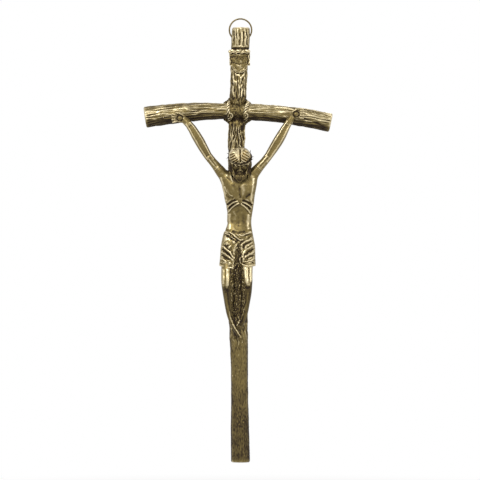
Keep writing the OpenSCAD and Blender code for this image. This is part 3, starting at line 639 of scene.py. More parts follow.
class Clay:
    """Block of clay: for every point of a grid, how far it lies outside the modelled skin, in mm."""

    def __init__(self, low, high, step):
        self.low, self.step = np.array(low, float), step
        self.axes = [np.arange(a, b + step, step) for a, b in zip(low, high)]
        self.d = np.full([len(a) for a in self.axes], 9.0, np.float32)

    def window(self, low, high, room):
        cut = []
        for a, lo, hi in zip(self.axes, low, high):
            i, j = np.searchsorted(a, (lo - room, hi + room))
            cut.append(slice(max(int(i) - 1, 0), min(int(j) + 1, len(a))))
        return tuple(cut)

    def at(self, cut=(slice(None),) * 3):
        x, y, z = (a[c] for a, c in zip(self.axes, cut))
        return x[:, None, None], y[None, :, None], z[None, None, :]

    def merge(self, cut, d, soft, dig):
        old = self.d[cut]
        if not old.size:
            return
        soft = max(soft, 1e-4)
        if dig:
            h = np.maximum(soft - np.abs(old + d), 0) / soft
            self.d[cut] = np.maximum(old, -d) + h * h * soft / 4
        else:
            h = np.maximum(soft - np.abs(old - d), 0) / soft
            self.d[cut] = np.minimum(old, d) - h * h * soft / 4

    def ball(self, centre, radii, soft=0.0, dig=False, frame=None):
        """Adds an egg of these radii, or digs it out. frame holds the egg's own three directions."""
        centre = np.array(centre, float)
        radii = np.broadcast_to(np.array(radii, float), (3,))
        reach = max(radii)
        cut = self.window(centre - reach, centre + reach, soft + 2 * self.step)
        x, y, z = self.at(cut)
        p = [x - centre[0], y - centre[1], z - centre[2]]
        if frame is not None:
            p = [p[0] * f[0] + p[1] * f[1] + p[2] * f[2] for f in frame]
        q = np.sqrt(sum((v / r) ** 2 for v, r in zip(p, radii))) + 1e-6
        g = np.sqrt(sum((v / r ** 2) ** 2 for v, r in zip(p, radii))) + 1e-6
        self.merge(cut, q * (q - 1) / g, soft, dig)

    def limb(self, rows, soft=0.0, dig=False, flat=1.0):
        """Adds a round limb through rows of x, y, z and radius, or digs it out. flat thins it along y."""
        rows = np.array(rows, float)
        cut = self.window(rows[:, :3].min(0), rows[:, :3].max(0), rows[:, 3].max() + soft + 2 * self.step)
        x, y, z = self.at(cut)
        best = None
        for a, b in zip(rows[:-1], rows[1:]):
            way = b[:3] - a[:3]
            size = max(float(way @ way), 1e-9)
            t = np.clip(((x - a[0]) * way[0] + (y - a[1]) * way[1] + (z - a[2]) * way[2]) / size, 0, 1)
            dy = (y - a[1] - t * way[1]) / flat
            d = np.sqrt((x - a[0] - t * way[0]) ** 2 + dy ** 2 + (z - a[2] - t * way[2]) ** 2)
            d = (d - a[3] - t * (b[3] - a[3])) * (1.0 if flat > 0.99 else 0.5 + flat / 2)
            best = d if best is None else np.minimum(best, d)
        self.merge(cut, best, soft, dig)

    def column(self, rows, soft=0.0, power=2.0):
        """Adds an upright body through rows of height, middle x, middle y, half width and half depth."""
        rows = np.array(sorted(rows), float)
        x, y, z = self.at()
        cx, cy, a, b = (np.interp(z, rows[:, 0], rows[:, k]) for k in (1, 2, 3, 4))
        u, v = np.abs(x - cx) / a, np.abs(y - cy) / b
        if power == 2.0:
            q = np.sqrt(u * u + v * v) + 1e-6
            g = np.sqrt((u / a) ** 2 + (v / b) ** 2) + 1e-6
            d = q * (q - 1) / g
        else:
            q = (u ** power + v ** power) ** (1 / power) + 1e-6
            d = (q - 1) * np.minimum(a, b)
        end = np.maximum(rows[0, 0] - z, z - rows[-1, 0])
        h = np.maximum(0.8 - np.abs(d - end), 0) / 0.8
        self.merge((slice(None),) * 3, np.maximum(d, end) + h * h * 0.2, soft, False)

    def raise_by(self, height):
        """Lifts the skin by a height in mm, given for every point of the grid."""
        self.d -= height.astype(np.float32) if hasattr(height, "astype") else height

    def clip(self, d):
        """Cuts away what lies outside d."""
        self.d = np.maximum(self.d, np.broadcast_to(d, self.d.shape).astype(np.float32))

    def skin(self):
        """Points and quads of the skin, a point in every cell that it crosses."""
        d = self.d
        for k, side in ((0, 0), (0, -1), (1, 0), (1, -1), (2, 0), (2, -1)):
            where = [slice(None)] * 3
            where[k] = side
            d[tuple(where)] = np.maximum(d[tuple(where)], self.step / 2)
        inside = d < 0
        size = [n - 1 for n in d.shape]
        corners = [(i, j, k) for i in (0, 1) for j in (0, 1) for k in (0, 1)]
        total = sum(
            inside[i:size[0] + i, j:size[1] + j, k:size[2] + k].astype(np.uint8) for i, j, k in corners
        )
        cells = np.argwhere((total > 0) & (total < 8))
        number = np.full(size, -1, np.int64)
        number[tuple(cells.T)] = np.arange(len(cells))
        value = {c: d[tuple((cells + c).T)] for c in corners}
        place, count = np.zeros((len(cells), 3)), np.zeros(len(cells))
        for a in corners:
            for k in range(3):
                if a[k]:
                    continue
                b = tuple(1 if m == k else a[m] for m in range(3))
                va, vb = value[a], value[b]
                hit = (va < 0) != (vb < 0)
                t = va[hit] / (va[hit] - vb[hit])
                place[hit] += np.array(a, float)
                place[hit, k] += t
                count[hit] += 1
        points = self.low + (cells + place / count[:, None]) * self.step
        faces = []
        for k in range(3):
            u, v = (k + 1) % 3, (k + 2) % 3
            first = tuple(slice(None, -1) if m == k else slice(1, -1) for m in range(3))
            second = tuple(slice(1, None) if m == k else slice(1, -1) for m in range(3))
            edge = np.argwhere(inside[first] != inside[second])
            if not len(edge):
                continue
            edge[:, u] += 1
            edge[:, v] += 1
            quad = []
            for du, dv in ((-1, -1), (0, -1), (0, 0), (-1, 0)):
                c = edge.copy()
                c[:, u] += du
                c[:, v] += dv
                quad.append(number[tuple(c.T)])
            quad = np.stack(quad, axis=1)
            out = inside[tuple(edge.T)]
            faces.append(np.where(out[:, None], quad, quad[:, ::-1]))
        faces = np.vstack(faces)
        return points, faces[(faces >= 0).all(axis=1)]


def strokes_height(xs, zs, strokes, wobble=0.0):
    """Height over the front, in mm, of strokes of height, width and a path of x and z."""
    up = np.zeros((len(xs), len(zs)))
    down = np.zeros((len(xs), len(zs)))
    gx, gz = np.broadcast_arrays(xs[:, None], zs[None, :])
    strength = 1 + 1.2 * wobble * noise(gx / 2.4, gz / 2.4, 2.5, 23)
    gx, gz = (
        gx + wobble * noise(gx / 1.7, gz / 1.7, 3.5, 21), gz + wobble * noise(gx / 1.7, gz / 1.7, 7.5, 22)
    )
    for height, width, path in strokes:
        path = np.array(path, float)
        room = 2.6 * width
        i, j = np.searchsorted(xs, (path[:, 0].min() - room, path[:, 0].max() + room))
        k, m = np.searchsorted(zs, (path[:, 1].min() - room, path[:, 1].max() + room))
        if i >= j or k >= m:
            continue
        x, z = gx[i:j, k:m], gz[i:j, k:m]
        near, run = np.full((j - i, m - k), 1e9), np.zeros((j - i, m - k))
        done = 0.0
        for a, b in zip(path[:-1], path[1:]):
            way = b - a
            size = max(float(np.hypot(*way)), 1e-6)
            t = np.clip(((x - a[0]) * way[0] + (z - a[1]) * way[1]) / size ** 2, 0, 1)
            far = (x - a[0] - t * way[0]) ** 2 + (z - a[1] - t * way[1]) ** 2
            run = np.where(far < near, done + t * size, run)
            near = np.minimum(near, far)
            done += size
        fade = max(min(0.9 * width + 0.2, done * 0.4), 1e-3)
        ends = 0.15 + 0.85 * smooth(0, fade, run) * smooth(done, done - fade, run) if done > 2 * width else 1.0
        bump = height * ends * np.exp(-near / width ** 2)
        if height > 0:
            up[i:j, k:m] = np.maximum(up[i:j, k:m], bump)
        else:
            down[i:j, k:m] = np.minimum(down[i:j, k:m], bump)
    return (up + down) * strength


def emboss(clay, strokes, front, blend=1.2, strength=1.0, wobble=0.0):
    """Raises strokes on the side of the clay that faces forward of the plane y = front."""
    xs, ys, zs = clay.axes
    height = strokes_height(xs, zs, strokes, wobble)[:, None, :] * strength
    clay.raise_by(height * smooth(front + blend, front - blend, ys)[None, :, None])


def shade(points, strokes, front, blend=1.0, wobble=0.25):
    """Lighter (positive) and darker (negative) places on the front, laid on as strokes like the relief: the painted
    highlights and painted shade of the figure's shade tables, the hair's grooves and ridges, and the splits of the
    upright.
    """
    step = 0.2
    x, y, z = points.T
    xs, zs = np.arange(x.min() - 1, x.max() + 1, step), np.arange(z.min() - 1, z.max() + 1, step)
    field = strokes_height(xs, zs, strokes, wobble)
    u, w = (x - xs[0]) / step, (z - zs[0]) / step
    i, k = u.astype(int), w.astype(int)
    u, w = u - i, w - k
    value = (field[i, k] * (1 - u) + field[i + 1, k] * u) * (1 - w)
    value += (field[i, k + 1] * (1 - u) + field[i + 1, k + 1] * u) * w
    return value * smooth(front + blend, front - blend, y)


def cleft(x, z):
    """One between the legs and up the loincloth's opening, nought outside: the casting is rough there."""
    left = np.interp(z, [-126, -122, -115, -105, -95, -90, -78, -76], [0.5, -1.7, -3.3, -3.9, -3.8, -2.7, -1.2, -0.4])
    right = np.interp(
        z, [-126, -122, -117, -110, -100, -92, -86, -78, -76], [1.0, 2.0, 3.7, 4.5, 4.1, 3.4, 1.7, 2.1, 1.4]
    )
    return smooth(left - 0.5, left + 0.5, x) * smooth(right + 0.5, right - 0.5, x)


def grain(x, y, z, size, seed):
    """The random height, with lumps of a size in mm."""
    return noise(x / size, y / size, z / size, seed)


# ---------------------------------------------------------------- figure

FIGURE_X, SHOULDER_Z, TRUNK_H, LEG_H = 0.3, -34.0, 58.7, 41.6
HEM_Z = SHOULDER_Z - TRUNK_H
TRUNK_R, CHEST_R, THIGH_R, KNEE_REACH = 10.6, 5.3, 3.8, 3.6
FIGURE_BACK = -8.193
CHEST_Y = FIGURE_BACK - CHEST_R
HEAD_CENTRE, HEAD_BOW = np.array([1.572, -18.174, -27.712]), math.radians(42)
CROWN_LIFT, THORN_ROOT = 0.9, 6.85
LEFT_PALM, RIGHT_PALM = np.array([-33.5, -10.297, -4.178]), np.array([34.2, -9.696, -1.865])
PALM_T, FINGER_R, NAIL_HEAD_R = 1.93, 0.58, 1.25
FOOT_NAIL = np.array([0.724, -13.7, -125.98])

# Down share, sway share, half width share, half thickness share
TRUNK = [
    (0, 0.6, 0.5, 0.6), (0.04, 0.6, 0.82, 0.76), (0.085, 0.65, 0.97, 0.9), (0.136, 0.7, 0.98, 0.98),
    (0.196, 0.8, 0.9, 1), (0.285, 0.9, 0.81, 0.96), (0.344, 0.95, 0.765, 0.92),
    (0.404, 1, 0.715, 0.85), (0.463, 1, 0.66, 0.77), (0.508, 0.9, 0.625, 0.735),
    (0.562, 0.6, 0.665, 0.76), (0.596, 0.4, 0.73, 0.85), (0.642, 0.3, 0.785, 0.9),
    (0.702, 0.3, 0.86, 0.98), (0.762, 0.25, 0.925, 1.04), (0.881, 0.1, 0.955, 1.07),
    (0.94, 0, 0.98, 1.08), (1, 0, 0.97, 1.05),
]
# Down share, outward share, forward share, half width share, half thickness share
LEFT_LEG = [
    (-0.2, -0.5, 0, 1.1, 1.15), (0.03, -0.56, 0.5, 1, 1.2), (0.13, -0.57, 0.9, 0.98, 1.15),
    (0.22, -0.56, 1, 0.94, 1.07), (0.33, -0.54, 0.5, 0.8, 0.93), (0.46, -0.5, -0.1, 0.68, 0.83),
    (0.6, -0.46, -0.4, 0.53, 0.7), (0.68, -0.38, -0.47, 0.48, 0.62), (0.78, -0.23, -0.47, 0.47, 0.52),
    (0.88, 0, -0.47, 0.45, 0.42), (0.96, 0.15, -0.5, 0.34, 0.32), (1, 0.19, -0.55, 0.16, 0.2),
]
RIGHT_LEG = [
    (-0.2, 0.47, 0, 1.05, 1.15), (0.03, 0.48, 0.5, 0.9, 1.15), (0.13, 0.49, 0.9, 0.87, 1.12),
    (0.2, 0.49, 1, 0.84, 1.05), (0.33, 0.5, 0.5, 0.7, 0.88), (0.46, 0.44, -0.1, 0.6, 0.78),
    (0.6, 0.37, -0.5, 0.52, 0.66), (0.68, 0.3, -0.75, 0.49, 0.55), (0.77, 0.14, -0.88, 0.46, 0.45),
    (0.86, -0.02, -0.93, 0.44, 0.38), (0.94, -0.11, -0.95, 0.34, 0.3),
]
# Middle line and radius of each arm from shoulder to wrist: x, z, radius
LEFT_ARM = [
    (-7.2, -38.4, 3.3), (-9.8, -35.2, 3.1), (-12.2, -32.2, 2.65), (-14.4, -29.6, 2.4), (-17.2, -26.1, 2.4),
    (-19.6, -22.0, 2.75), (-21.8, -18.0, 2.95), (-24.0, -14.3, 2.85), (-26.2, -10.6, 2.55),
    (-28.6, -7.4, 2.15), (-31.0, -4.9, 1.85),
]
RIGHT_ARM = [
    (8.0, -38.4, 3.3), (10.6, -35.2, 3.1), (13.2, -32.2, 2.65), (15.6, -29.6, 2.4), (18.3, -26.1, 2.4),
    (20.9, -22.0, 2.75), (23.4, -18.0, 2.95), (25.6, -14.3, 2.85), (27.6, -10.6, 2.5),
    (29.6, -7.2, 2.1), (31.6, -3.9, 1.8),
]

# Line, palm and outward direction of each arm
ARMS = ((LEFT_ARM, LEFT_PALM, -1), (RIGHT_ARM, RIGHT_PALM, 1))


def head_point(x, y, z):
    """Place of a point of the head: y towards its back, z towards its top, from its middle."""
    c, s = math.cos(HEAD_BOW), math.sin(HEAD_BOW)
    return HEAD_CENTRE + np.array([x, y * c - z * s, y * s + z * c])


def head_frame():
    """The head's own three directions."""
    c, s = math.cos(HEAD_BOW), math.sin(HEAD_BOW)
    return np.array([[1, 0, 0], [0, c, s], [0, -s, c]], float)


def eased(rows):
    """The same rows with the corners between them rounded off."""
    rows = np.array(rows)
    for _ in range(8):
        rows[1:-1] = (rows[:-2] + 2 * rows[1:-1] + rows[2:]) / 4
    return [tuple(r) for r in rows]


def columns_at(rows, share):
    """The other columns of a table, at a share in its first."""
    first, *others = zip(*rows)
    return [float(np.interp(share, first, column)) for column in others]


def trunk_rows(first, last):
    """Rows of height, middle x, middle y, half width and half depth between two shares of the trunk."""
    rows = []
    for s in np.linspace(first, last, 60):
        sway, wide, thick = columns_at(TRUNK, s)
        rows.append((
            SHOULDER_Z - s * TRUNK_H, FIGURE_X + sway * TRUNK_R / 9, FIGURE_BACK - thick * CHEST_R,
            wide * TRUNK_R, thick * CHEST_R,
        ))
    return eased(rows)


def leg_rows(shares):
    """Rows of height, middle x, middle y, half width and half depth down a leg."""
    rows = []
    for s in np.linspace(shares[0][0], shares[-1][0], 60):
        out, ahead, wide, thick = columns_at(shares, s)
        rows.append((
            HEM_Z - s * LEG_H, FIGURE_X + out * TRUNK_R, CHEST_Y - ahead * KNEE_REACH,
            wide * THIGH_R, thick * THIGH_R,
        ))
    return eased(rows)


# ---------------------------------------------------------------- relief of the figure's front
# Each stroke is raised (or sunk) by a height, has a width, and follows x and z, in mm.

CHEST = [
    (0.55, 2.6, [(-3.9, -43.4), (-3.5, -46.4)]),
    (0.6, 2.6, [(5.4, -43.4), (4.9, -46.4)]),
    (0.3, 0.5, [(-7.6, -43.6), (-6.4, -46.4), (-4.4, -48.9), (-2.6, -49.9)]),
    (-0.35, 0.9, [(-7, -48.6), (-4.8, -50.5), (-2, -51.3)]),
    (-0.35, 1.1, [(8, -48), (6, -49.6), (4, -50.9), (2.4, -51.4)]),
    (0.2, 0.6, [(7.2, -46.4), (5.6, -48.3), (3.4, -49.4)]),
    (-0.22, 0.9, [(0.9, -43), (1.2, -46), (1.6, -48.6), (1.9, -51.3)]),
    (0.3, 0.8, [(-9.8, -38.2), (-9.1, -41.6), (-8.4, -44.8), (-7.8, -48), (-7.5, -51.2), (-6.8, -53.4)]),
    (0.35, 0.9, [(9.9, -38.6), (9.2, -42.6), (8.8, -46), (8.4, -49.4), (8.3, -52.4), (8.8, -54.6)]),
    (0.25, 0.5, [(3.1, -41), (2.8, -45), (3.4, -49.2)]),
    (-0.12, 0.6, [(-6, -38.4), (-3.4, -42)]),
]
RIBS = [
    (-0.75, 0.6, [(-6.4, -54.9), (-4.7, -53.7), (-3.2, -52.5), (-0.8, -51.9)]),
    (0.45, 0.42, [(-5.7, -56.5), (-4.6, -55), (-3.4, -54), (-1.6, -53), (0.6, -52.6)]),
    (-0.75, 0.5, [(-5.3, -57.4), (-4.1, -55.9), (-2.9, -54.9), (-1.8, -54.2)]),
    (0.45, 0.42, [(-5.3, -59.2), (-4.4, -57.7), (-3.2, -56.5), (-1.9, -55.4), (-0.5, -54.6), (1.3, -53.9)]),
    (-0.75, 0.6, [(8.8, -55.3), (7.4, -53.9), (5.6, -53), (4.1, -52.3), (2.5, -52.2)]),
    (0.45, 0.42, [(8.3, -56.7), (7, -55.3), (5.6, -54.6), (4.2, -53.7), (2.5, -53)]),
    (-0.75, 0.5, [(7.7, -57.7), (6.5, -56.1), (5.3, -55.1), (4.2, -54.6)]),
    (0.45, 0.42, [(7.6, -59.8), (6.8, -58.5), (5.5, -57.1), (4.2, -55.8), (2.9, -55), (1.9, -54)]),
]
BELLY = [
    (-0.75, 2.4, [(0.6, -57.4), (0.5, -60.2)]),
    (-0.6, 3.2, [(0.6, -61.2), (0.5, -67)]),
    (0.36, 1.1, [(-4.9, -59.4), (-4.8, -63.5), (-4.7, -66.5), (-5.2, -69.6)]),
    (0.36, 1.2, [(6.6, -59.8), (6.4, -63.5), (6.3, -66.5), (6.9, -69.6)]),
    (-0.15, 0.5, [(-3.3, -60.5), (-3, -64), (-3.3, -68)]),
    (-0.15, 0.5, [(4.6, -61), (4.4, -64.5), (4.6, -68.4)]),
    (-0.12, 0.7, [(1.6, -57.2), (1.8, -62.3)]),
    (-0.45, 0.4, [(0.62, -66.7), (0.66, -66.95)]),
    (-0.4, 1.3, [(-3.6, -69.9), (0.5, -71.2), (5, -70.1)]),
]
WAIST_FOLDS = [
    (0.65, 0.5, [(-6.9, -70.7), (-4.8, -70.5), (-3.2, -71.5), (-1.4, -72.8), (0, -74), (1.8, -75.3), (3.5, -74.5)]),
    (0.5, 0.45, [(-7.5, -71.1), (-5.4, -71.7), (-4.2, -72.8), (-2.6, -74.2)]),
    (0.6, 0.5, [(8.2, -70.5), (6.4, -71.2), (3.6, -72.2), (1.6, -72.9)]),
    (-0.5, 0.5, [(-6.7, -72.5), (-4.9, -73.2), (-3.5, -74.6), (-1.6, -75.5)]),
    (-0.6, 0.5, [(-4.4, -71.9), (-2.8, -72.9), (-1.6, -74.1)]),
    (-0.6, 0.6, [(0.5, -72.6), (1.3, -73.8), (3.3, -73.8), (5.4, -73.3)]),
    (-0.5, 0.6, [(-1.4, -71), (0.9, -71.2), (3.5, -70.7)]),
]
RIGHT_FOLDS = [
    (0.6, 0.6, [(8.3, -73.7), (7.4, -74.6), (5.6, -75.5), (4.4, -76.3), (3, -77.4), (2.2, -79)]),
    (-0.5, 0.6, [(8.8, -75.5), (7.1, -76.6), (5.5, -77.4), (3.9, -78.4), (3.3, -80.4)]),
    (0.6, 0.55, [(9.1, -78), (8.2, -78.9), (6.9, -79.7), (5.4, -80.4), (4.4, -81.6), (3.6, -83.1), (3.2, -84.5),
        (1.9, -85.4), (1.3, -86.5), (1.6, -88), (2.5, -89.3)]),
    (0.45, 0.5, [(4.8, -78.6), (4.8, -80.7)]),
    (-0.55, 0.6, [(9.6, -80.3), (7.9, -81.2), (6.2, -82.2), (5, -83.3)]),
    (0.6, 0.55, [(9.7, -81.9), (8.3, -82.9), (7.1, -83.6), (5, -84.4), (4.2, -85.7)]),
    (-0.55, 0.55, [(9.7, -84.2), (7.9, -84.6), (6.2, -85.3), (5.5, -86.5)]),
    (0.55, 0.5, [(9.7, -85.9), (8.1, -86.8), (6.5, -87.4), (4.2, -87.8)]),
    (-0.5, 0.5, [(9.5, -88.2), (7.4, -88.4), (5.6, -88.7), (3, -88.6)]),
    (0.35, 0.5, [(3.9, -85.3), (3, -87.1)]),
]
LEFT_FOLDS = [
    (0.5, 1.8, [(-7, -74.2), (-6.9, -76.6)]),
    (0.5, 0.7, [(-2.2, -75.3), (-1.8, -77.5)]),
    (-0.5, 0.6, [(-7.8, -77.6), (-6.2, -78.7), (-4.9, -77.7)]),
    (0.6, 0.5, [(-8.8, -78.6), (-7.7, -79.3), (-6.8, -80.2), (-5.5, -81.4), (-4.2, -82.5), (-3.5, -83.7),
        (-2.3, -85.7)]),
    (0.5, 0.5, [(-3.5, -78.1), (-4.4, -79), (-5.3, -80.4)]),
    (-0.55, 0.55, [(-9, -80.1), (-7.5, -81.2), (-5.5, -82.9), (-4.2, -84.3)]),
    (0.6, 0.5, [(-9.3, -81.8), (-8.1, -82.8), (-7, -83.5), (-5.5, -84.6), (-4.1, -85.7), (-2.8, -87.2)]),
    (-0.55, 0.6, [(-9.3, -83.7), (-7.5, -84.9), (-5.8, -86.1), (-4.4, -86.5)]),
    (0.6, 0.55, [(-9.5, -85.8), (-7.9, -86.7), (-6.9, -87.7), (-7, -89.2)]),
    (0.45, 0.9, [(-4.9, -87.8), (-4.4, -89.8)]),
    (-0.5, 0.6, [(-9, -88), (-7.9, -89.1)]),
    (-0.4, 0.4, [(-5.7, -88.4), (-5.6, -89.8)]),
]
THIGHS = [
    (0.2, 0.7, [(-8.4, -91.5), (-8.3, -101.2)]),
    (0.3, 0.8, [(-5.8, -91.5), (-5.9, -102.2)]),
    (-0.04, 0.6, [(-7, -92), (-7.2, -96), (-7.3, -100.6)]),
    (0.3, 0.9, [(4.6, -90.5), (5, -96), (5.7, -100.8)]),
    (0.2, 0.7, [(7.8, -90.5), (7.8, -100)]),
    (-0.16, 0.4, [(6.6, -91), (6.6, -95), (6.8, -100.2)]),
    (-0.15, 0.9, [(-8.2, -103.4), (-6.4, -104.2), (-4.6, -104)]),
    (-0.2, 0.9, [(4.2, -101.8), (5.6, -103.1), (7.8, -101.9)]),
]
SHINS = [
    (0.3, 0.5, [(-5, -116.4), (-3.9, -121.2), (-1.8, -125.8), (0.2, -129.2), (1.8, -131.6)]),
    (0.65, 0.6, [(-2.9, -123.6), (-1, -127.2), (1.8, -131.6)]), (0.6, 0.8, [(1.7, -131.2), (1.9, -131.6)]),
    (-0.4, 0.5, [(-3.4, -119), (-2.2, -122.6), (-0.4, -126)]),
    (0.25, 0.5, [(4.4, -114.2), (2.6, -119.8), (0.9, -123.2), (-0.6, -125.6)]),
    (0.5, 0.45, [(1.8, -121.4), (-0.6, -125.6)]),
    (0.2, 0.6, [(-6.8, -105.5), (-6, -112.5), (-4.9, -117.8)]),
    (0.2, 0.6, [(6.2, -105.5), (5.6, -111.4), (4.4, -116.6)]),
]
HEMS = [
    (0.5, 0.5, [(-10.4, -89.6), (-6.2, -91), (-2.5, -91.5)]),
    (0.5, 0.5, [(1.5, -87.9), (3.2, -89.7), (6, -90.4), (10.4, -89.6)]),
]
PARTING = 1.6


def comb(side, root, near, far):
    """Path of a combed lock on one side of the parting, between two distances from it."""
    return [(PARTING + side * d, root - 1.6 * math.sqrt(d) - 0.1 * d) for d in np.linspace(near, far, 6)]


HAIR = [(-1.3, 0.42, [(1.5, -21.6), (1.6, -25.5), (1.75, -30.4)])] + [
    stroke
    for side, rows in (
        (-1, ((-21.6, 3.2, 6.2), (-23.2, 2.8, 6), (-24.8, 2, 5.4), (-26.3, 1.3, 4.7), (-27.7, 0.7, 3.6))),
        (1, ((-20.9, 1.6, 5), (-22.7, 1.4, 5.4), (-24.4, 1, 5), (-26, 0.7, 3.8))),
    )
    for root, near, far in rows
    for stroke in ((-0.75, 0.3, comb(side, root, near, far)), (0.5, 0.48, comb(side, root - 0.8, near - 0.4, far)))
]
# Painted highlights (positive) and painted shade (negative) on the figure's front, as share of the patina's range,
# width and path
TRUNK_SHADE = [
    (0.4, 0.8, [(-9.5, -38.4), (-8.2, -43.4), (-7.4, -47.4), (-6.4, -52.8)]),
    (0.3, 0.4, [(-6.4, -44.8), (-4.4, -49)]),
    (0.45, 0.9, [(9.3, -37.6), (8.9, -43), (8.5, -48), (7.8, -52.2)]),
    (0.28, 1.1, [(2.9, -41.1), (3, -45), (3.4, -49.4)]),
    (-0.2, 0.6, [(1.4, -44.4), (1.7, -46.8), (2.2, -50.4)]),
    (-0.22, 1.6, [(-3.6, -40.6), (-1.6, -45.5)]),
    (-0.3, 0.9, [(4.1, -50.1), (6.2, -49), (8.2, -47.9)]),
    (-0.2, 1, [(5.4, -41.4), (6.6, -44.6)]),
    (0.12, 1.5, [(-1.4, -58.6), (-1, -64)]),
    (-0.22, 1.2, [(3.4, -58.6), (3.8, -66.5)]),
    (0.1, 2, [(-0.6, -66.6), (0.6, -67.4)]),
    (-0.6, 0.36, [(0.7, -66.8), (0.75, -67)]),
    (0.34, 1, [(-4.9, -58.4), (-4.5, -65.4), (-5.1, -69.4)]),
    (0.34, 1.1, [(6.7, -58.8), (6.1, -65.2), (6.8, -69.4)]),
    (0.06, 0.8, [(-6.4, -66.8), (-7.6, -70.2)]), (0.1, 0.8, [(8.2, -66.8), (9.2, -70.2)]),
    (-0.35, 0.9, [(-3.4, -69.5), (0.6, -70.9), (5.2, -69.7)]),
    (-0.6, 3.2, [(-2.6, -34), (4.6, -34)]), (-0.65, 2.6, [(-0.6, -39.4), (2.6, -39.4)]),
    (0.25, 0.8, [(-7.4, -35.6), (-5.6, -38.6)]),
]
CLOTH_SHADE = [
    (0.12, 1.5, [(-7, -73.8), (-6.4, -77)]), (0.2, 1.2, [(-4.4, -76.2), (-5.6, -79.6)]),
    (0.3, 1, [(-8.4, -87.2), (-3.6, -90.4)]), (0.3, 1.4, [(6.6, -77), (4.8, -80)]),
    (0.25, 1.6, [(7.4, -83), (5.6, -88.2)]),
    (-0.5, 1, [(-1.6, -75.2), (0.2, -76.8)]), (-0.35, 0.7, [(2.2, -76.6), (3.2, -79.6)]),
    (-0.3, 0.8, [(-5.8, -73), (-2.8, -75.2)]),
]
LEGS_SHADE = [
    (0.16, 1.1, [(-8.3, -91), (-8.1, -97), (-8.6, -101.2)]), (0.2, 1.1, [(-5.8, -91), (-5.6, -96), (-6, -101.8)]),
    (0.2, 0.8, [(-5.4, -98), (-5.2, -102)]),
    (0.8, 1.35, [(4.3, -90), (4.9, -95.5), (5.8, -100.2)]), (0.55, 0.8, [(7.9, -90), (7.9, -99.2)]),
    (-0.12, 0.3, [(6.7, -91), (6.8, -99.8)]),
    (-0.2, 1.2, [(-7.4, -104.6), (-4.6, -105.2)]), (-0.3, 1.3, [(4.4, -103), (7.8, -103.2)]),
    (0.2, 0.5, [(-8.2, -104), (-6.9, -110), (-5.4, -116.6)]),
    (0.2, 0.45, [(-4.9, -117), (-3.9, -121.2), (-1.8, -125.8), (0.2, -129.2), (1.9, -131.8)]),
    (0.3, 0.45, [(-3, -123.4), (-1, -127.2), (1.9, -131.8)]),
    (0.16, 0.4, [(4.2, -114.6), (2.6, -119.8), (0.9, -123.2), (-0.6, -125.6)]),
    (0.4, 0.4, [(2.4, -120.2), (-0.6, -125.6)]),
    (0.3, 0.7, [(-2.9, -100), (-2.5, -112)]), (0.25, 0.7, [(2.7, -99.6), (3, -113)]),
    (-0.28, 1, [(0.1, -90), (0.2, -121)]),
]


# ---------------------------------------------------------------- materials


def group_socket(tree, label, kind, way="INPUT", default=None):
    socket = tree.interface.new_socket(name=label, in_out=way, socket_type=kind)
    if default is not None:
        socket.default_value = default
    return socket


def wire(tree, *pairs):
    for a, b in pairs:
        tree.links.new(a, b)


def maths(tree, kind, a, b=None, clamp=False):
    node = tree.nodes.new("ShaderNodeMath")
    node.operation = kind
    node.use_clamp = clamp
    for i, value in enumerate((a, b)):
        if value is None:
            continue
        if isinstance(value, (int, float)):
            node.inputs[i].default_value = value
        else:
            tree.links.new(value, node.inputs[i])
    return node.outputs[0]


# Levels at which the body colour gives way to the dark patina colour and to the rubbed colour; painted shade and
# painted highlights in the tone reach them as well
SUNK, PROUD = (0.12, -0.62), (0.1, 0.75)


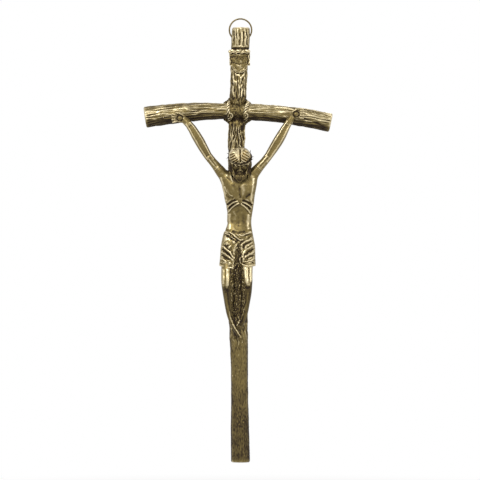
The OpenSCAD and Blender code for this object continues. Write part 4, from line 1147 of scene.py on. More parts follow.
def patina_group():
    """Antique brass: dark patina in the recesses, toned brass between, rubbed brass on the crests; the Tone input
    moves these levels too, so the same colours also show painted shade and painted highlights.
    """
    name = "Antique brass patina and painted light"
    if name in bpy.data.node_groups:
        return bpy.data.node_groups[name]
    tree = bpy.data.node_groups.new(name, "ShaderNodeTree")
    for label, kind, default in (
        ("Relief", "NodeSocketFloat", 0.0), ("Tone", "NodeSocketFloat", 0.0), ("Wear", "NodeSocketFloat", 0.0),
        ("Cloud Scale", "NodeSocketFloat", 60.0), ("Cloud Amount", "NodeSocketFloat", 0.3),
        ("Speckle", "NodeSocketFloat", 0.3),
        ("Recess", "NodeSocketColor", (0.03, 0.02, 0.01, 1)),
        ("Body", "NodeSocketColor", (0.2, 0.16, 0.07, 1)),
        ("Crest", "NodeSocketColor", (0.6, 0.5, 0.3, 1)),
    ):
        group_socket(tree, label, kind, "INPUT", default)
    for label, kind in (
        ("Color", "NodeSocketColor"), ("Roughness", "NodeSocketFloat"),
        ("Metallic", "NodeSocketFloat"), ("Height", "NodeSocketFloat"),
    ):
        group_socket(tree, label, kind, "OUTPUT")
    n = tree.nodes
    into, out = n.new("NodeGroupInput"), n.new("NodeGroupOutput")
    where = n.new("ShaderNodeTexCoord").outputs["Object"]

    def cloud(scale, detail, rough, warp=0.0):
        node = n.new("ShaderNodeTexNoise")
        node.inputs["Detail"].default_value = detail
        node.inputs["Roughness"].default_value = rough
        node.inputs["Distortion"].default_value = warp
        wire(tree, (where, node.inputs["Vector"]))
        if isinstance(scale, (int, float)):
            node.inputs["Scale"].default_value = scale
        else:
            wire(tree, (scale, node.inputs["Scale"]))
        return node.outputs["Fac"]

    def ramp(value, lo, hi):
        node = n.new("ShaderNodeMapRange")
        node.interpolation_type = "SMOOTHSTEP"
        node.inputs["From Min"].default_value = lo
        node.inputs["From Max"].default_value = hi
        wire(tree, (value, node.inputs["Value"]))
        return node.outputs["Result"]

    def mix(factor, a, b):
        node = n.new("ShaderNodeMix")
        node.data_type = "RGBA"
        wire(tree, (factor, node.inputs["Factor"]), (a, node.inputs[6]), (b, node.inputs[7]))
        return node.outputs[2]

    big = maths(tree, "SUBTRACT", cloud(into.outputs["Cloud Scale"], 3.0, 0.55, 0.3), 0.5)
    fine = maths(tree, "SUBTRACT", cloud(1500.0, 4.0, 0.65), 0.5)
    grit = maths(tree, "SUBTRACT", cloud(3600.0, 2.0, 0.6), 0.5)
    level = maths(tree, "ADD", into.outputs["Relief"], into.outputs["Wear"])
    level = maths(tree, "ADD", level, into.outputs["Tone"])
    level = maths(tree, "ADD", level, maths(tree, "MULTIPLY", big, into.outputs["Cloud Amount"]))
    level = maths(tree, "ADD", level, maths(tree, "MULTIPLY", fine, into.outputs["Speckle"]))
    sunk = ramp(level, *SUNK)
    proud = ramp(level, *PROUD)
    colour = mix(sunk, into.outputs["Body"], into.outputs["Recess"])
    colour = mix(proud, colour, into.outputs["Crest"])
    rough = maths(tree, "ADD", maths(tree, "MULTIPLY", sunk, 0.22), 0.4)
    rough = maths(tree, "SUBTRACT", rough, maths(tree, "MULTIPLY", proud, 0.1))
    rough = maths(tree, "ADD", rough, maths(tree, "MULTIPLY", fine, 0.16), clamp=True)
    metal = maths(tree, "SUBTRACT", 0.72, maths(tree, "MULTIPLY", sunk, 0.42))
    metal = maths(tree, "ADD", metal, maths(tree, "MULTIPLY", proud, 0.14), clamp=True)
    height = maths(tree, "ADD", fine, maths(tree, "MULTIPLY", grit, 0.35))
    wire(
        tree,
        (colour, out.inputs["Color"]), (rough, out.inputs["Roughness"]),
        (metal, out.inputs["Metallic"]), (height, out.inputs["Height"]),
    )
    return tree


# Wear, cloud scale, cloud amount, speckle and bump of each finish
FINISHES = {
    "Bark brass": (-0.08, 55.0, 0.55, 0.32, 0.06), "Rope brass": (0.16, 120.0, 0.25, 0.3, 0.05),
    "Figure brass": (0.05, 70.0, 0.45, 0.22, 0.035), "Loincloth brass": (0.08, 70.0, 0.4, 0.25, 0.04),
    "Hair brass": (0.08, 90.0, 0.3, 0.25, 0.03), "Scroll brass": (-0.02, 110.0, 0.35, 0.4, 0.05),
    "Wire brass": (0.12, 150.0, 0.5, 0.3, 0.02), "Thorn brass": (-0.5, 120.0, 0.3, 0.4, 0.05),
    "Nail brass": (0.12, 150.0, 0.4, 0.3, 0.03), "Pin brass": (0.0, 150.0, 0.4, 0.3, 0.03),
}


def brass(name):
    """The brass material of a finish, which places the patina group with that finish's values."""
    if name in bpy.data.materials:
        return bpy.data.materials[name]
    wear, cloud, cloud_amount, speckle, bump = FINISHES[name]
    colours = values().finish
    material = bpy.data.materials.new(name)
    material.use_nodes = True
    tree = material.node_tree
    shader = tree.nodes["Principled BSDF"]
    group = tree.nodes.new("ShaderNodeGroup")
    group.node_tree = patina_group()
    for label, source in (("Relief", "relief"), ("Tone", "tone")):
        node = tree.nodes.new("ShaderNodeAttribute")
        node.attribute_name = source
        wire(tree, (node.outputs["Fac"], group.inputs[label]))
    for label, value in (
        ("Wear", wear + colours.wear), ("Cloud Scale", cloud), ("Cloud Amount", cloud_amount), ("Speckle", speckle),
        ("Recess", (*colours.patina_and_shade, 1)), ("Body", (*colours.body, 1)), ("Crest", (*colours.crest_and_highlight, 1)),
    ):
        group.inputs[label].default_value = value
    relief = tree.nodes.new("ShaderNodeBump")
    relief.inputs["Strength"].default_value = bump * 10
    relief.inputs["Distance"].default_value = 0.0001
    wire(
        tree,
        (group.outputs["Color"], shader.inputs["Base Color"]),
        (group.outputs["Roughness"], shader.inputs["Roughness"]),
        (group.outputs["Metallic"], shader.inputs["Metallic"]),
        (group.outputs["Height"], relief.inputs["Height"]),
        (relief.outputs["Normal"], shader.inputs["Normal"]),
    )
    shader.inputs["Specular IOR Level"].default_value = 0.15
    return material


# ---------------------------------------------------------------- operators


class CRUCIFIX_OT_logs(bpy.types.Operator):
    """Makes the upright and the crossbeam with their bark"""

    bl_idname = "crucifix.logs"
    bl_label = "Logs"

    def execute(self, context):
        v = values().logs
        rings = upright_skin(v)
        up = np.array([0, 0, 1.0])
        foot = end_rings(rings[0], up, 31, -1)
        head = end_rings(rings[-1], up, 32, 1)
        points, faces = closed_grid([*foot[::-1], *rings, *head])
        x, y, z = points.T
        across, front, calm = np.abs(x - upright_x(z)) / upright_r(z), y < -3, smooth(-118, -140, z)
        # Splits, then darker downwards, with painted shadow behind the figure and painted shade towards the sides
        tone = 0.4 * splits(points) + 0.06 * smooth(6, 12, z)
        tone -= 0.08 * smooth(-10, -30, z) + 0.16 * smooth(-128, -150, z) + 0.2 * smooth(-150, -205, z)
        tone -= 0.16 * smooth(-72, -80, z) * smooth(-134, -126, z)
        tone -= 0.3 * smooth(0.72, 1.0, across) * (0.4 + 0.6 * smooth(-60, -120, z))
        # Flecks of the calm lower part, and painted highlights along its rims and on the edge of its foot
        tone += 0.3 * calm * smooth(0.3, 0.6, noise(x / 0.8, 0.5, z / 1.3, 49)) * smooth(0.7, 0.3, across)
        tone += 0.4 * calm * hump(across - 0.84, 0.06) * smooth(-0.1, 0.4, noise(x / 9, 0.5, z / 7, 48))
        tone += 0.22 * smooth(-203.9, -204.3, z) * smooth(0.7, 0.9, across) * smooth(5.0, 3.0, np.abs(x - 0.4))
        # Painted shade under the crossbeam and in the corner above it, a painted shadow line over the scroll, and
        # lighter specks at the crossing
        tone -= front * (
            0.18 * hump(z + 9, 3.5) + 0.5 * hump(z + 4.2, 2.8) + 0.34 * hump(z + 7, 1.8) + 0.9 * hump(z - 36.6, 0.7)
            + 0.48 * smooth(10.5, 7.5, z) * smooth(-4, 0, z)
            - 0.5 * np.abs(noise(x / 0.9, 0.5, z / 0.9, 50)) * smooth(10, 7, z) * smooth(0, 3, z)
        )
        piece("upright_log", points, faces, "cross", ["upright"], "Bark brass", tone, sharp=70)
        rings, stations, place = beam_skin(v)
        ends = []
        for ring, a, sign, seed in ((rings[0], stations[0], 1, 33), (rings[-1], stations[-1], -1, 34)):
            ends.append(end_rings(ring, place(a)[2], seed, sign))
        points, faces = closed_grid([*ends[0][::-1], *rings, *ends[1]])
        x, z = points[:, 0], points[:, 2]
        below = (z - beam_z(np.clip(x, -53, 53))) / BEAM_D * 2
        # Painted shade underneath, darker along the top edge, a painted highlight along the upper third; webbed where
        # the logs cross, with painted shade on the web's lower part
        tone = -0.75 * smooth(-0.2, -0.85, below) - 0.2 * smooth(0.8, 1.0, below)
        tone += 0.32 * hump(below - 0.45, 0.38) + 0.14 * noise(x / 5, below / 0.5, 0.5, 26)
        knot, web = hump(x - 0.2, 4.7, 4), np.abs(noise(x / 0.9, 0.5, z / 0.9, 50))
        tone = tone * (1 - knot) + knot * (0.85 * web - 0.42 - 0.3 * smooth(-0.2, -0.6, below))
        piece("crossbeam_log", points, faces, "cross", ["crossbeam"], "Bark brass", tone, sharp=70)
        return {"FINISHED"}


def corner_cords():
    """Four short cords across the corners of the crossing."""
    cord, beam_half = 2.3, BEAM_D / 2
    cross_r = float(upright_r(0))
    y, foot_x = -BEAM_AXIS + 0.2 + cord / 2, cross_r + cord
    cords = []
    for sx in (-1, 1):
        for sz in (-1, 1):
            a = np.array([sx * foot_x, y, sz * beam_half + float(beam_z(sx * foot_x))])
            b = np.array([sx * (cross_r - cord / 3), y, sz * (beam_half + cord * 1.25)])
            way = (b - a) / np.linalg.norm(b - a)
            middle = (a + b) / 2 + np.array([-sx * 0.3, 0.0, -sz * 0.3])
            cords.append(rope([a - way * 0.4, middle, b + way * 0.4], cord, 0.98, 4.2, 3, sx + sz, 60))
    return cords


class CRUCIFIX_OT_lashings(bpy.types.Operator):
    """Lays the two ropes over the crossbeam and the cords in its corners"""

    bl_idname = "crucifix.lashings"
    bl_label = "Lashings"

    def execute(self, context):
        v = values().ropes
        r = BEAM_D / 2 + 0.45
        for name, node, bow, phase, rubbed in (
            ("left_rope", "lashing_left",
             [(5.4, -4.5), (3.2, -5.3), (1.0, -5.5), (-1.4, -5.2), (-3.4, -4.4)], 0.4, 0.34),
            ("right_rope", "lashing_right",
             [(5.4, 6.5), (3.2, 5.6), (0.6, 4.7), (-1.6, 4.45), (-3.6, 4.6)], 1.7, 0.12),
        ):
            path = []
            for t in np.linspace(92, -92, 17):
                a = math.radians(t)
                z = r * math.sin(a)
                x = float(np.interp(z, [p[0] for p in bow[::-1]], [p[1] for p in bow[::-1]]))
                path.append((x, -BEAM_AXIS - r * math.cos(a), float(beam_z(x)) + z))
            points, faces, tone = rope(path, 2.35, v.strand * MM, v.lay * MM, v.strands, phase, 50)
            # Painted shade where the rope runs back round the beam and on its lower half, on a tone that each rope's
            # own offset lightens evenly
            tone += rubbed - 0.9 * smooth(-6.6, -4.4, points[:, 1]) - 0.9 * smooth(-0.6, -1.6, points[:, 2])
            end_x, end_z, far = bow[-1][1] + 0.4, -2.7, r + 1.15
            loop = []
            for t in np.linspace(-1.9, 3.4, 18):
                z = end_z + 1.3 * math.sin(t)
                loop.append((end_x + 1.15 * math.cos(t), -BEAM_AXIS - math.sqrt(far ** 2 - z ** 2), z))
            eyelet = tube(loop, 0.36, 10)
            tone = np.concatenate([tone, 0.7 * smooth(-0.4, 0.5, eyelet[0][:, 0] - end_x) - 0.4])
            points, faces = join([(points, faces), eyelet])
            piece(name, points, faces, "cross", [node], "Rope brass", tone, scale=(3.0, 1.0))
        parts = corner_cords()
        points, faces = join([p[:2] for p in parts])
        # The cords are painted much darker than their strands' own tone, as the shade in the corners of the crossing
        tone = np.concatenate([p[2] for p in parts]) * 0.4 - 1.15
        piece("corner_cords", points, faces, "cross", ["corner_lashing"], "Rope brass", tone,
              scale=(3.0, 1.0))
        return {"FINISHED"}


def ring_mesh(x):
    """Ring of slightly uneven wire, standing up from its eye."""
    sides, turns = 18, 144
    a = np.linspace(0, 2 * math.pi, sides, endpoint=False)
    rings = []
    for t in np.linspace(0, 2 * math.pi, turns, endpoint=False):
        c = np.array([x + RING_R * math.sin(t), EYE_Y, EYE_Z + RING_R - RING_R * math.cos(t)])
        out = np.array([math.sin(t), 0, -math.cos(t)])
        r = RING_WIRE / 2 * (1 + 0.025 * noise(math.sin(t) * 3, math.cos(t) * 3, 0.5, 5))
        rings.append(c + r * (np.cos(a)[:, None] * out + np.sin(a)[:, None] * np.array([0, 1.0, 0])))
    i, k = np.arange(turns)[:, None] * sides, (np.arange(1, turns + 1) % turns)[:, None] * sides
    j = np.arange(sides)[None, :]
    j2 = (j + 1) % sides
    faces = np.stack([i + j, k + j, k + j2, i + j2], axis=-1).reshape(-1, 4)
    return np.array(rings).reshape(-1, 3), faces


class CRUCIFIX_OT_hanger(bpy.types.Operator):
    """Makes the hanging ring and its eye"""

    bl_idname = "crucifix.hanger"
    bl_label = "Hanging ring"

    def execute(self, context):
        x = float(upright_x(EYE_Z))
        points, faces = ring_mesh(x)
        piece("wire_ring", points, faces, "ring", ["hanging_ring"], "Wire brass", -0.75)
        front, rear = -STEP_DEPTH - 2.2, -STEP_DEPTH + 0.2
        high, low = EYE_Z + EYE_BEND, EYE_Z - EYE_BEND
        arc = [
            (EYE_Y + EYE_BEND * math.sin(a), EYE_Z + EYE_BEND * math.cos(a))
            for a in np.linspace(0.3, math.pi - 0.3, 7)
        ]
        path = [(front, high), (rear, high), (EYE_Y, high), *arc, (EYE_Y, low), (rear, low), (front, low)]
        points, faces = tube(curve_through([(x, *q) for q in path], 60), EYE_WIRE / 2, 16)
        piece("wire_eye", points, faces, "cross", ["ring_eye"], "Wire brass", -0.2)
        return {"FINISHED"}


def arm_rows(arm, out):
    """Rows of x, y, z and radius from the shoulder to the wrist."""
    rows = np.array(arm, float)
    run = run_along(rows[:, :2])
    y = np.interp(run / run[-1], [0, 0.12, 0.5, 0.85, 1], [-12.9, -12.7, -12.0, -11.3, -10.6 + 0.2 * (out > 0)])
    fine = np.linspace(0, run[-1], 40)
    return np.stack([np.interp(fine, run, v) for v in (rows[:, 0], y, rows[:, 1], rows[:, 2])], axis=1)


def shoulder_cut(rows, x, z):
    """How far a point lies beyond the joint between the trunk and an arm."""
    joint, way = rows[6], rows[7] - rows[5]
    way = way / np.hypot(way[0], way[2])
    return (x - joint[0]) * way[0] + (z - joint[2]) * way[2]


def trunk_clay(v):
    """Chest and belly, cut off where the arms are joined on."""
    clay = Clay((-14.5, -20.5, -76.5), (15.5, -7.6, -30), v.clay_step * MM)
    clay.column(trunk_rows(0, 0.715))
    for arm, _, out in ARMS:
        clay.limb(arm_rows(arm, out)[:10], 2.2)
    clay.limb([(1.3, -12.6, -39, 3.6), (1.5, -14.2, -35, 3.0), (1.57, -15.4, -32, 2.7)], 1.4)
    x, y, z = clay.at()
    emboss(clay, CHEST + BELLY, -11.6, 1.6, v.relief, 0.3)
    emboss(clay, RIBS, -10.6, 1.6, v.relief, 0.12)
    back = [
        (-0.6, 0.8, [(0.9, -40), (1.0, -52), (0.6, -66)]), (0.5, 1.6, [(-4.6, -42), (-5.0, -47)]),
        (0.5, 1.6, [(6.4, -42), (6.8, -47)]),
    ]
    emboss(clay, back, -9.7, -0.7)
    clay.raise_by(0.035 * grain(x, y, z, 1.1, 81) + 0.12 * grain(x, y, z, 2.6, 80))
    for arm, _, out in ARMS:
        clay.clip(shoulder_cut(arm_rows(arm, out), x, z))
    clay.clip(y - FIGURE_BACK)
    return clay


def loincloth_clay(v):
    """Cloth wound round the hips, with an opening between the thighs."""
    clay = Clay((-12, -21.8, -94), (12.6, -7.6, -68.6), v.clay_step * MM)
    clay.column([
        (z, x - 0.25, y, a + 0.2 * float(smooth(-69.2, -71.5, z)), b + 0.45)
        for z, x, y, a, b in trunk_rows(0.585, 1.0)
    ] + [(HEM_Z - 1.2, FIGURE_X - 0.3, FIGURE_BACK - 1.05 * CHEST_R, TRUNK_R * 0.97, CHEST_R * 1.08)])
    clay.limb([(0.9, -20.6, -76.6, 0.9), (0.5, -20.3, -82, 1.9), (0.6, -20.3, -88, 2.6), (0.7, -20.3, -95, 3.0)],
              1.0, dig=True)
    emboss(clay, WAIST_FOLDS + RIGHT_FOLDS + LEFT_FOLDS + HEMS, -13.0, 2.2, 1.1 * v.relief, 0.34)
    xs = clay.axes[0]
    wrap = [
        (0.5, 0.55, [(-12, z - 1.8), (-4, z), (1, z - 0.5), (5, z), (12.6, z - 1.8)])
        for z in (-72.2, -74.6, -77.4, -80.4, -83.4, -86.2)
    ]
    emboss(clay, wrap, -11.7, -1.1)
    x, y, z = clay.at()
    deep = cleft(x, z) * smooth(-74.5, -77, z)
    strands = 0.35 * deep * noise(x / 0.6, y / 0.6, z / 1.1, 77)
    clay.raise_by(0.08 * grain(x, y, z, 0.8, 82) + 0.12 * grain(x, y, z, 1.5, 79) + strands)
    hem = np.interp(xs, [-12, -10.3, -6, -2.2, -1.6, 0.4, 1.4, 3.2, 6, 10.4, 12.6],
                    [-89.9, -90.3, -91.7, -92.2, -91, -88.5, -88.6, -90.4, -91.1, -90.3, -89.9])
    clay.clip(hem[:, None, None] - z)
    top = np.interp(xs, [-12, -8, -4, 0.4, 5, 9, 12.6], [-69.6, -69.8, -70.6, -72.0, -70.7, -69.8, -69.6])
    clay.clip(z - top[:, None, None])
    clay.clip(y - FIGURE_BACK)
    return clay


def knees(x, z):
    """One on the thighs' and knees' front planes, which stand a little proud and which the legs' tone paints as lit,
    nought below and between them, where that tone paints shade.
    """
    foot = np.interp(
        x, [-9.4, -8.4, -7.2, -6.0, -4.6, 3.6, 5.4, 7.0, 8.6],
        [-100.2, -102.6, -101.9, -103.2, -101.0, -97.0, -101.4, -102.0, -98.0],
    )
    up = z + 92
    left = smooth(0.05 * up - 3.9, 0.05 * up - 4.9, x)
    right = smooth(2.9 - 0.17 * up, 3.9 - 0.17 * up, x)
    return smooth(foot - 0.8, foot + 0.8, z) * (left + right)


def legs_clay(v):
    """Both legs with the feet crossed, and rough strands between them."""
    clay = Clay((-11, -22.6, -135.4), (10, -7.6, -86.5), v.clay_step * MM)
    left, right = leg_rows(LEFT_LEG), leg_rows(RIGHT_LEG)
    clay.column([r for r in right if r[0] < -87], 0.0, 2.3)
    clay.column([r for r in left if r[0] < -87], 0.35, 2.3)
    x, y, z = clay.at()
    clay.limb([
        (0.1, -14.2, -86, 3.0), (0.2, -14.4, -95, 3.0), (0.3, -13.6, -105, 3.0), (0.3, -12.2, -115, 2.6),
        (0.5, -10.9, -123, 2.2),
    ], 0.9)
    clay.raise_by(0.18 * knees(x, z) * smooth(-16.5, -19.0, y))
    feet = [
        ((1.8, -12.0, -131.2), (1.65, 1.15, 2.7), -133.6, 0.5, 3.1, -11.9),
        ((-0.7, -10.5, -129.4), (1.6, 1.1, 2.5), -131.7, -2.2, 0.2, -10.4),
    ]
    for centre, radii, toe_z, first, last, toe_y in feet:
        clay.ball(centre, radii, 0.7)
        for k in range(5):
            tx = first + (last - first) * k / 4
            drop = 0.28 * abs(k - 1.4)
            clay.limb([(tx, toe_y, toe_z + 1.4 + drop, 0.4), (tx, toe_y - 0.15, toe_z + drop * 0.8, 0.42)], 0.15)
    emboss(clay, THIGHS + SHINS, -12.4, 0.9, v.relief, 0.2)
    clay.raise_by(0.03 * grain(x, y, z, 0.9, 83))
    rough = 0.36 * noise(x / 0.55, y / 0.55, z / 0.95, 75) + 0.4 * noise(x / 1.0, y / 1.0, z / 2.2, 74)
    clay.raise_by(rough * cleft(x, z) * smooth(-10.5, -12, y))
    clay.clip(y - FIGURE_BACK)
    return clay


def arm_clay(v, arm, palm, out):
    """An arm from its joint to the open hand, and the rows of its line."""
    rows = arm_rows(arm, out)
    side = sorted((0.0, 44.5 * out))
    clay = Clay((side[0] - 1, -17.2, -39.5), (side[1] + 1, -7.4, 2.5), 0.2)
    clay.column(trunk_rows(0, 0.3))
    clay.limb(rows, 2.2)
    mid = rows[:, [0, 2]]
    way = np.gradient(mid, axis=0)
    way /= np.linalg.norm(way, axis=1)[:, None]
    off = np.stack([-way[:, 1], way[:, 0]], axis=1)

    def edge(share, first, last):
        return (mid + off * rows[:, 3:4] * share)[first:last]

    strokes = [
        (-0.42, 1.25, edge(0.05, 14, 36)), (0.3, 0.5, edge(0.62, 13, 38)), (0.3, 0.5, edge(-0.62, 11, 37)),
        (-0.22, 0.5, edge(-0.05 * out, 7, 15)), (0.15, 0.6, edge(0.3, 8, 16)),
    ]
    emboss(clay, strokes, -11.8, 0.8, v.relief)
    hand_y = palm[1]
    clay.ball(palm + np.array([-0.25 * out, -0.05, 0.0]), (2.5, 1.05, 2.45), 0.5)
    clay.limb([tuple(rows[-3]), (palm[0] - out * 1.2, hand_y, palm[2] - 0.3, 1.35)], 0.8, flat=0.75)
    for lift, size in ((1.5, 0.92), (0.5, 1.0), (-0.5, 1.0), (-1.5, 0.9)):
        a = math.radians(15 * lift)
        root = palm + np.array([out * 1.7, -0.1, lift * 1.06])
        knuckle = root + np.array([out * math.cos(a) * 1.5 * size, -0.25, math.sin(a) * 1.2])
        tip = knuckle + np.array([out * math.cos(a) * 1.35 * size, 0.25, math.sin(a) * 0.9])
        clay.limb([(*root, FINGER_R), (*knuckle, FINGER_R * 1.04), (*tip, FINGER_R * 0.86)], 0.12)
    a, b = palm + np.array([-out * 1.9, -0.15, 1.3]), palm + np.array([out * 0.2, -0.35, 2.75])
    c = palm + np.array([out * 2.6, -0.2, 2.95])
    clay.limb([(*a, 0.85), (*b, 0.68), (*c, 0.52)], 0.25)
    emboss(clay, [
        (-0.5, 0.36, [(palm[0] + 1.62 * math.cos(t), palm[2] + 1.62 * math.sin(t)) for t in np.linspace(0, 6.3, 25)]),
        (-0.35, 0.9, [(palm[0], palm[2]), (palm[0] + 0.01, palm[2])]),
        (-0.22, 0.22, [(palm[0] + out * 1.5, palm[2] - 1.7), (palm[0] + out * 1.2, palm[2] + 1.5)]),
    ], hand_y - 0.2, 0.4)
    x, y, z = clay.at()
    clay.raise_by(0.05 * noise(x / 0.8, y / 0.8, z / 0.9, 84))
    clay.clip(-shoulder_cut(rows, x, z))
    return clay, rows


def swelling(count, where, radii):
    """Radii of a lock: the first at its root, the second at a share of its length, the third at its end."""
    return np.interp(np.linspace(0, 1, count), (0, where, 1), radii)


def lock(clay, through, radii, soft, curl=0.0, turns=0.0, phase=0.0):
    """Adds a lock of hair along a curve through the given points, swaying by curl."""
    path = curve_through(through, len(radii))
    path[:, 0] += curl * np.sin(np.linspace(0, turns, len(radii)) + phase)
    clay.limb([(*q, r) for q, r in zip(path, radii)], soft)


def head_clay(v):
    """Bowed head with its hair, face and beard."""
    clay = Clay((-7.6, -25.6, -43.2), (10.8, -10.4, -20.6), min(v.clay_step * MM, 0.2) * 0.75)
    frame = head_frame()
    p = lambda x, y, z, r: (*head_point(x, y, z), r)
    clay.ball(head_point(0, 0.3, 0.2), (6.25, 6.0, 6.0), frame=frame)
    clay.ball(head_point(0, -1.3, -2.0), (4.3, 4.6, 5.4), 1.0, frame=frame)
    x, y, z = clay.at()
    local = [
        frame[k][0] * (x - HEAD_CENTRE[0]) + frame[k][1] * (y - HEAD_CENTRE[1]) + frame[k][2] * (z - HEAD_CENTRE[2])
        for k in range(3)
    ]
    face = smooth(-1.5, -3.5, local[1]) * smooth(0.9, -0.1, local[2]) * smooth(4.6, 3.8, np.abs(local[0]))
    turn = np.arctan2(local[0], local[1] + 0.5)
    wave = turn * 15 + 1.3 * np.sin(local[2] * 0.9 + 2 * np.sin(turn * 3)) + 2.5 * grain(x, y, z, 2.2, 90)
    strands = 0.30 * np.abs(np.sin(wave)) ** 0.7 + 0.1 * np.sin(wave * 2.7 + 1.3)
    front = smooth(-19.5, -21.5, y) * smooth(-31.8, -30.2, z)
    clay.raise_by((strands * (1 - face) * (1 - front)) * v.relief)
    # Face, its eyes closed
    clay.limb([p(-3.1, -4.5, -0.4, 0.45), p(-1.6, -5.5, -0.1, 0.5), p(0, -5.7, -0.35, 0.4), p(1.6, -5.5, -0.1, 0.5),
               p(3.1, -4.5, -0.4, 0.45)], 0.7)
    for s in (-1, 1):
        clay.ball(head_point(s * 1.95, -6.1, -1.45), (1.35, 0.9, 0.8), 0.6, dig=True, frame=frame)
        clay.ball(head_point(s * 1.95, -4.75, -1.5), (1.05, 0.85, 0.74), 0.2, frame=frame)
        lid = [p(s * (1.95 + 0.98 * math.cos(t)), -5.42 + 0.25 * abs(math.cos(t)), -1.72 - 0.25 * math.sin(t), 0.1)
               for t in np.linspace(0.1, 3.04, 7)]
        clay.limb(lid, 0.1, dig=True)
        clay.ball(head_point(s * 2.7, -4.1, -3.0), (1.5, 1.3, 1.2), 1.0, frame=frame)
        clay.ball(head_point(s * 2.4, -4.1, -4.7), (1.7, 1.2, 1.7), 0.8, frame=frame)
        clay.ball(head_point(s * 0.62, -5.9, -3.75), (0.48, 0.55, 0.42), 0.25, frame=frame)
        clay.limb([p(s * 0.2, -6.1, -4.4, 0.36), p(s * 1.2, -5.8, -4.8, 0.42), p(s * 2.2, -4.9, -5.9, 0.4),
                   (HEAD_CENTRE[0] + s * 2.7, -19.3, -38.0, 0.2)], 0.2)
    clay.limb([p(0, -5.4, -0.5, 0.4), p(0, -6.0, -2.2, 0.42), p(0, -6.65, -3.5, 0.55)], 0.4)
    clay.limb([p(-0.9, -5.45, -5.25, 0.22), p(0, -5.85, -5.05, 0.3), p(0.9, -5.45, -5.25, 0.22)], 0.2)
    clay.limb([p(-0.8, -5.35, -5.75, 0.25), p(0, -5.7, -5.75, 0.34), p(0.8, -5.35, -5.75, 0.25)], 0.2)
    clay.limb([p(-1.0, -5.95, -5.5, 0.08), p(0, -6.25, -5.42, 0.1), p(1.0, -5.95, -5.5, 0.08)], 0.1, dig=True)
    # Beard on the chest: a mass, locks from the jaw and shorter ones from under the lip
    mid_x = HEAD_CENTRE[0]
    clay.limb([(mid_x, -18.1, -37.3, 2.3), (mid_x, -19.3, -39.2, 2.0), (mid_x, -19.9, -41.2, 0.8)], 0.5)
    for s in (-1, 1):
        for k in range(6):
            a = math.radians(84 - 13 * k)
            root = head_point(s * 4.5 * math.sin(a), -1.2 - 4.1 * math.cos(a), -4.4 - 2.4 * math.cos(a))
            end = np.array([mid_x + s * (3.3 - 0.5 * k), -19.6 - 0.16 * k, -38.8 - 0.52 * k])
            middle = (root + end) / 2 + np.array([s * (0.55 - 0.05 * k), -0.7, 0.25])
            lock(clay, (root, middle, end), np.linspace(0.62, 0.24, 8), 0.1, 0.14, 7, k)
    for k in range(7):
        u = (k - 3) / 3
        through = (
            (mid_x + 1.3 * u, -19.5, -36.5 - 0.2 * abs(u)), (mid_x + 2.1 * u, -20.9, -38.5),
            (mid_x + 1.3 * u, -20.4, -41.5 + 0.9 * u * u),
        )
        lock(clay, through, swelling(9, 0.4, (0.34, 0.48, 0.18)), 0.08, 0.16, 8, 1.7 * k)
    # Locks at the sides, before the ears, at the back and on the shoulder
    for s in (-1, 1):
        for k in range(6):
            u = k / 5
            a = head_point(s * (4.9 + 0.4 * u), -1.8 + 3.4 * u, -1.8)
            b = np.array([mid_x + s * (5.3 + 0.5 * u), -17.9 + 2.6 * u, -33.6])
            c = np.array([mid_x + s * (5.0 + 1.5 * u), -17.9 + 2.2 * u, -37.0 - 2.6 * (1 - u)])
            lock(clay, (a, (a + b) / 2 + np.array([s * 0.5, 0, 0]), b, c), swelling(9, 0.5, (0.95, 0.8, 0.28)), 0.2)
        for k in range(3):
            through = (
                head_point(s * (5.0 - 0.3 * k), -2.6 - 0.6 * k, -0.4),
                (mid_x + s * (5.2 - 0.45 * k), -18.3 - 0.25 * k, -33.8),
                (mid_x + s * (4.5 - 0.5 * k), -18.9 - 0.2 * k, -37.2 + 0.4 * k),
            )
            lock(clay, through, np.linspace(0.75, 0.3, 8), 0.15)
    for k in range(9):
        u = (k - 4) / 4
        a = head_point(5.4 * math.sin(u), 5.2 * math.cos(u), -1.5)
        b = np.array([mid_x + 5.6 * math.sin(u * 1.1), -12.1, -35.6])
        lock(clay, (a, (a + b) / 2 + np.array([0, 0.4, 0]), b), np.linspace(0.9, 0.45, 7), 0.2)
    shoulder = ((-4.4, -18.6, -36.0), (-3.9, -18.3, -38.4), (-3.4, -18.4, -40.0), (-2.5, -18.5, -41.8))
    lock(clay, shoulder, swelling(9, 0.6, (0.6, 0.5, 0.2)), 0.15)
    # Two lobes of hair over the brow, with the parting between
    clay.ball((-1.62, -20.4, -26.75), (3.35, 4.4, 4.2), 0.15)
    clay.ball((4.5, -20.3, -26.2), (2.95, 4.25, 3.75), 0.15)
    emboss(clay, HAIR, -21.2, 0.9, v.relief, 0.1)
    away = np.abs(x - PARTING) + 0.05
    flow = z + 1.6 * np.sqrt(away) + 0.1 * away + 0.12 * grain(x, y, z, 1.4, 86)
    clay.raise_by(0.045 * np.sin(flow * 9.5) * front)
    clay.raise_by(0.04 * grain(x, y, z, 0.5, 85))
    return clay


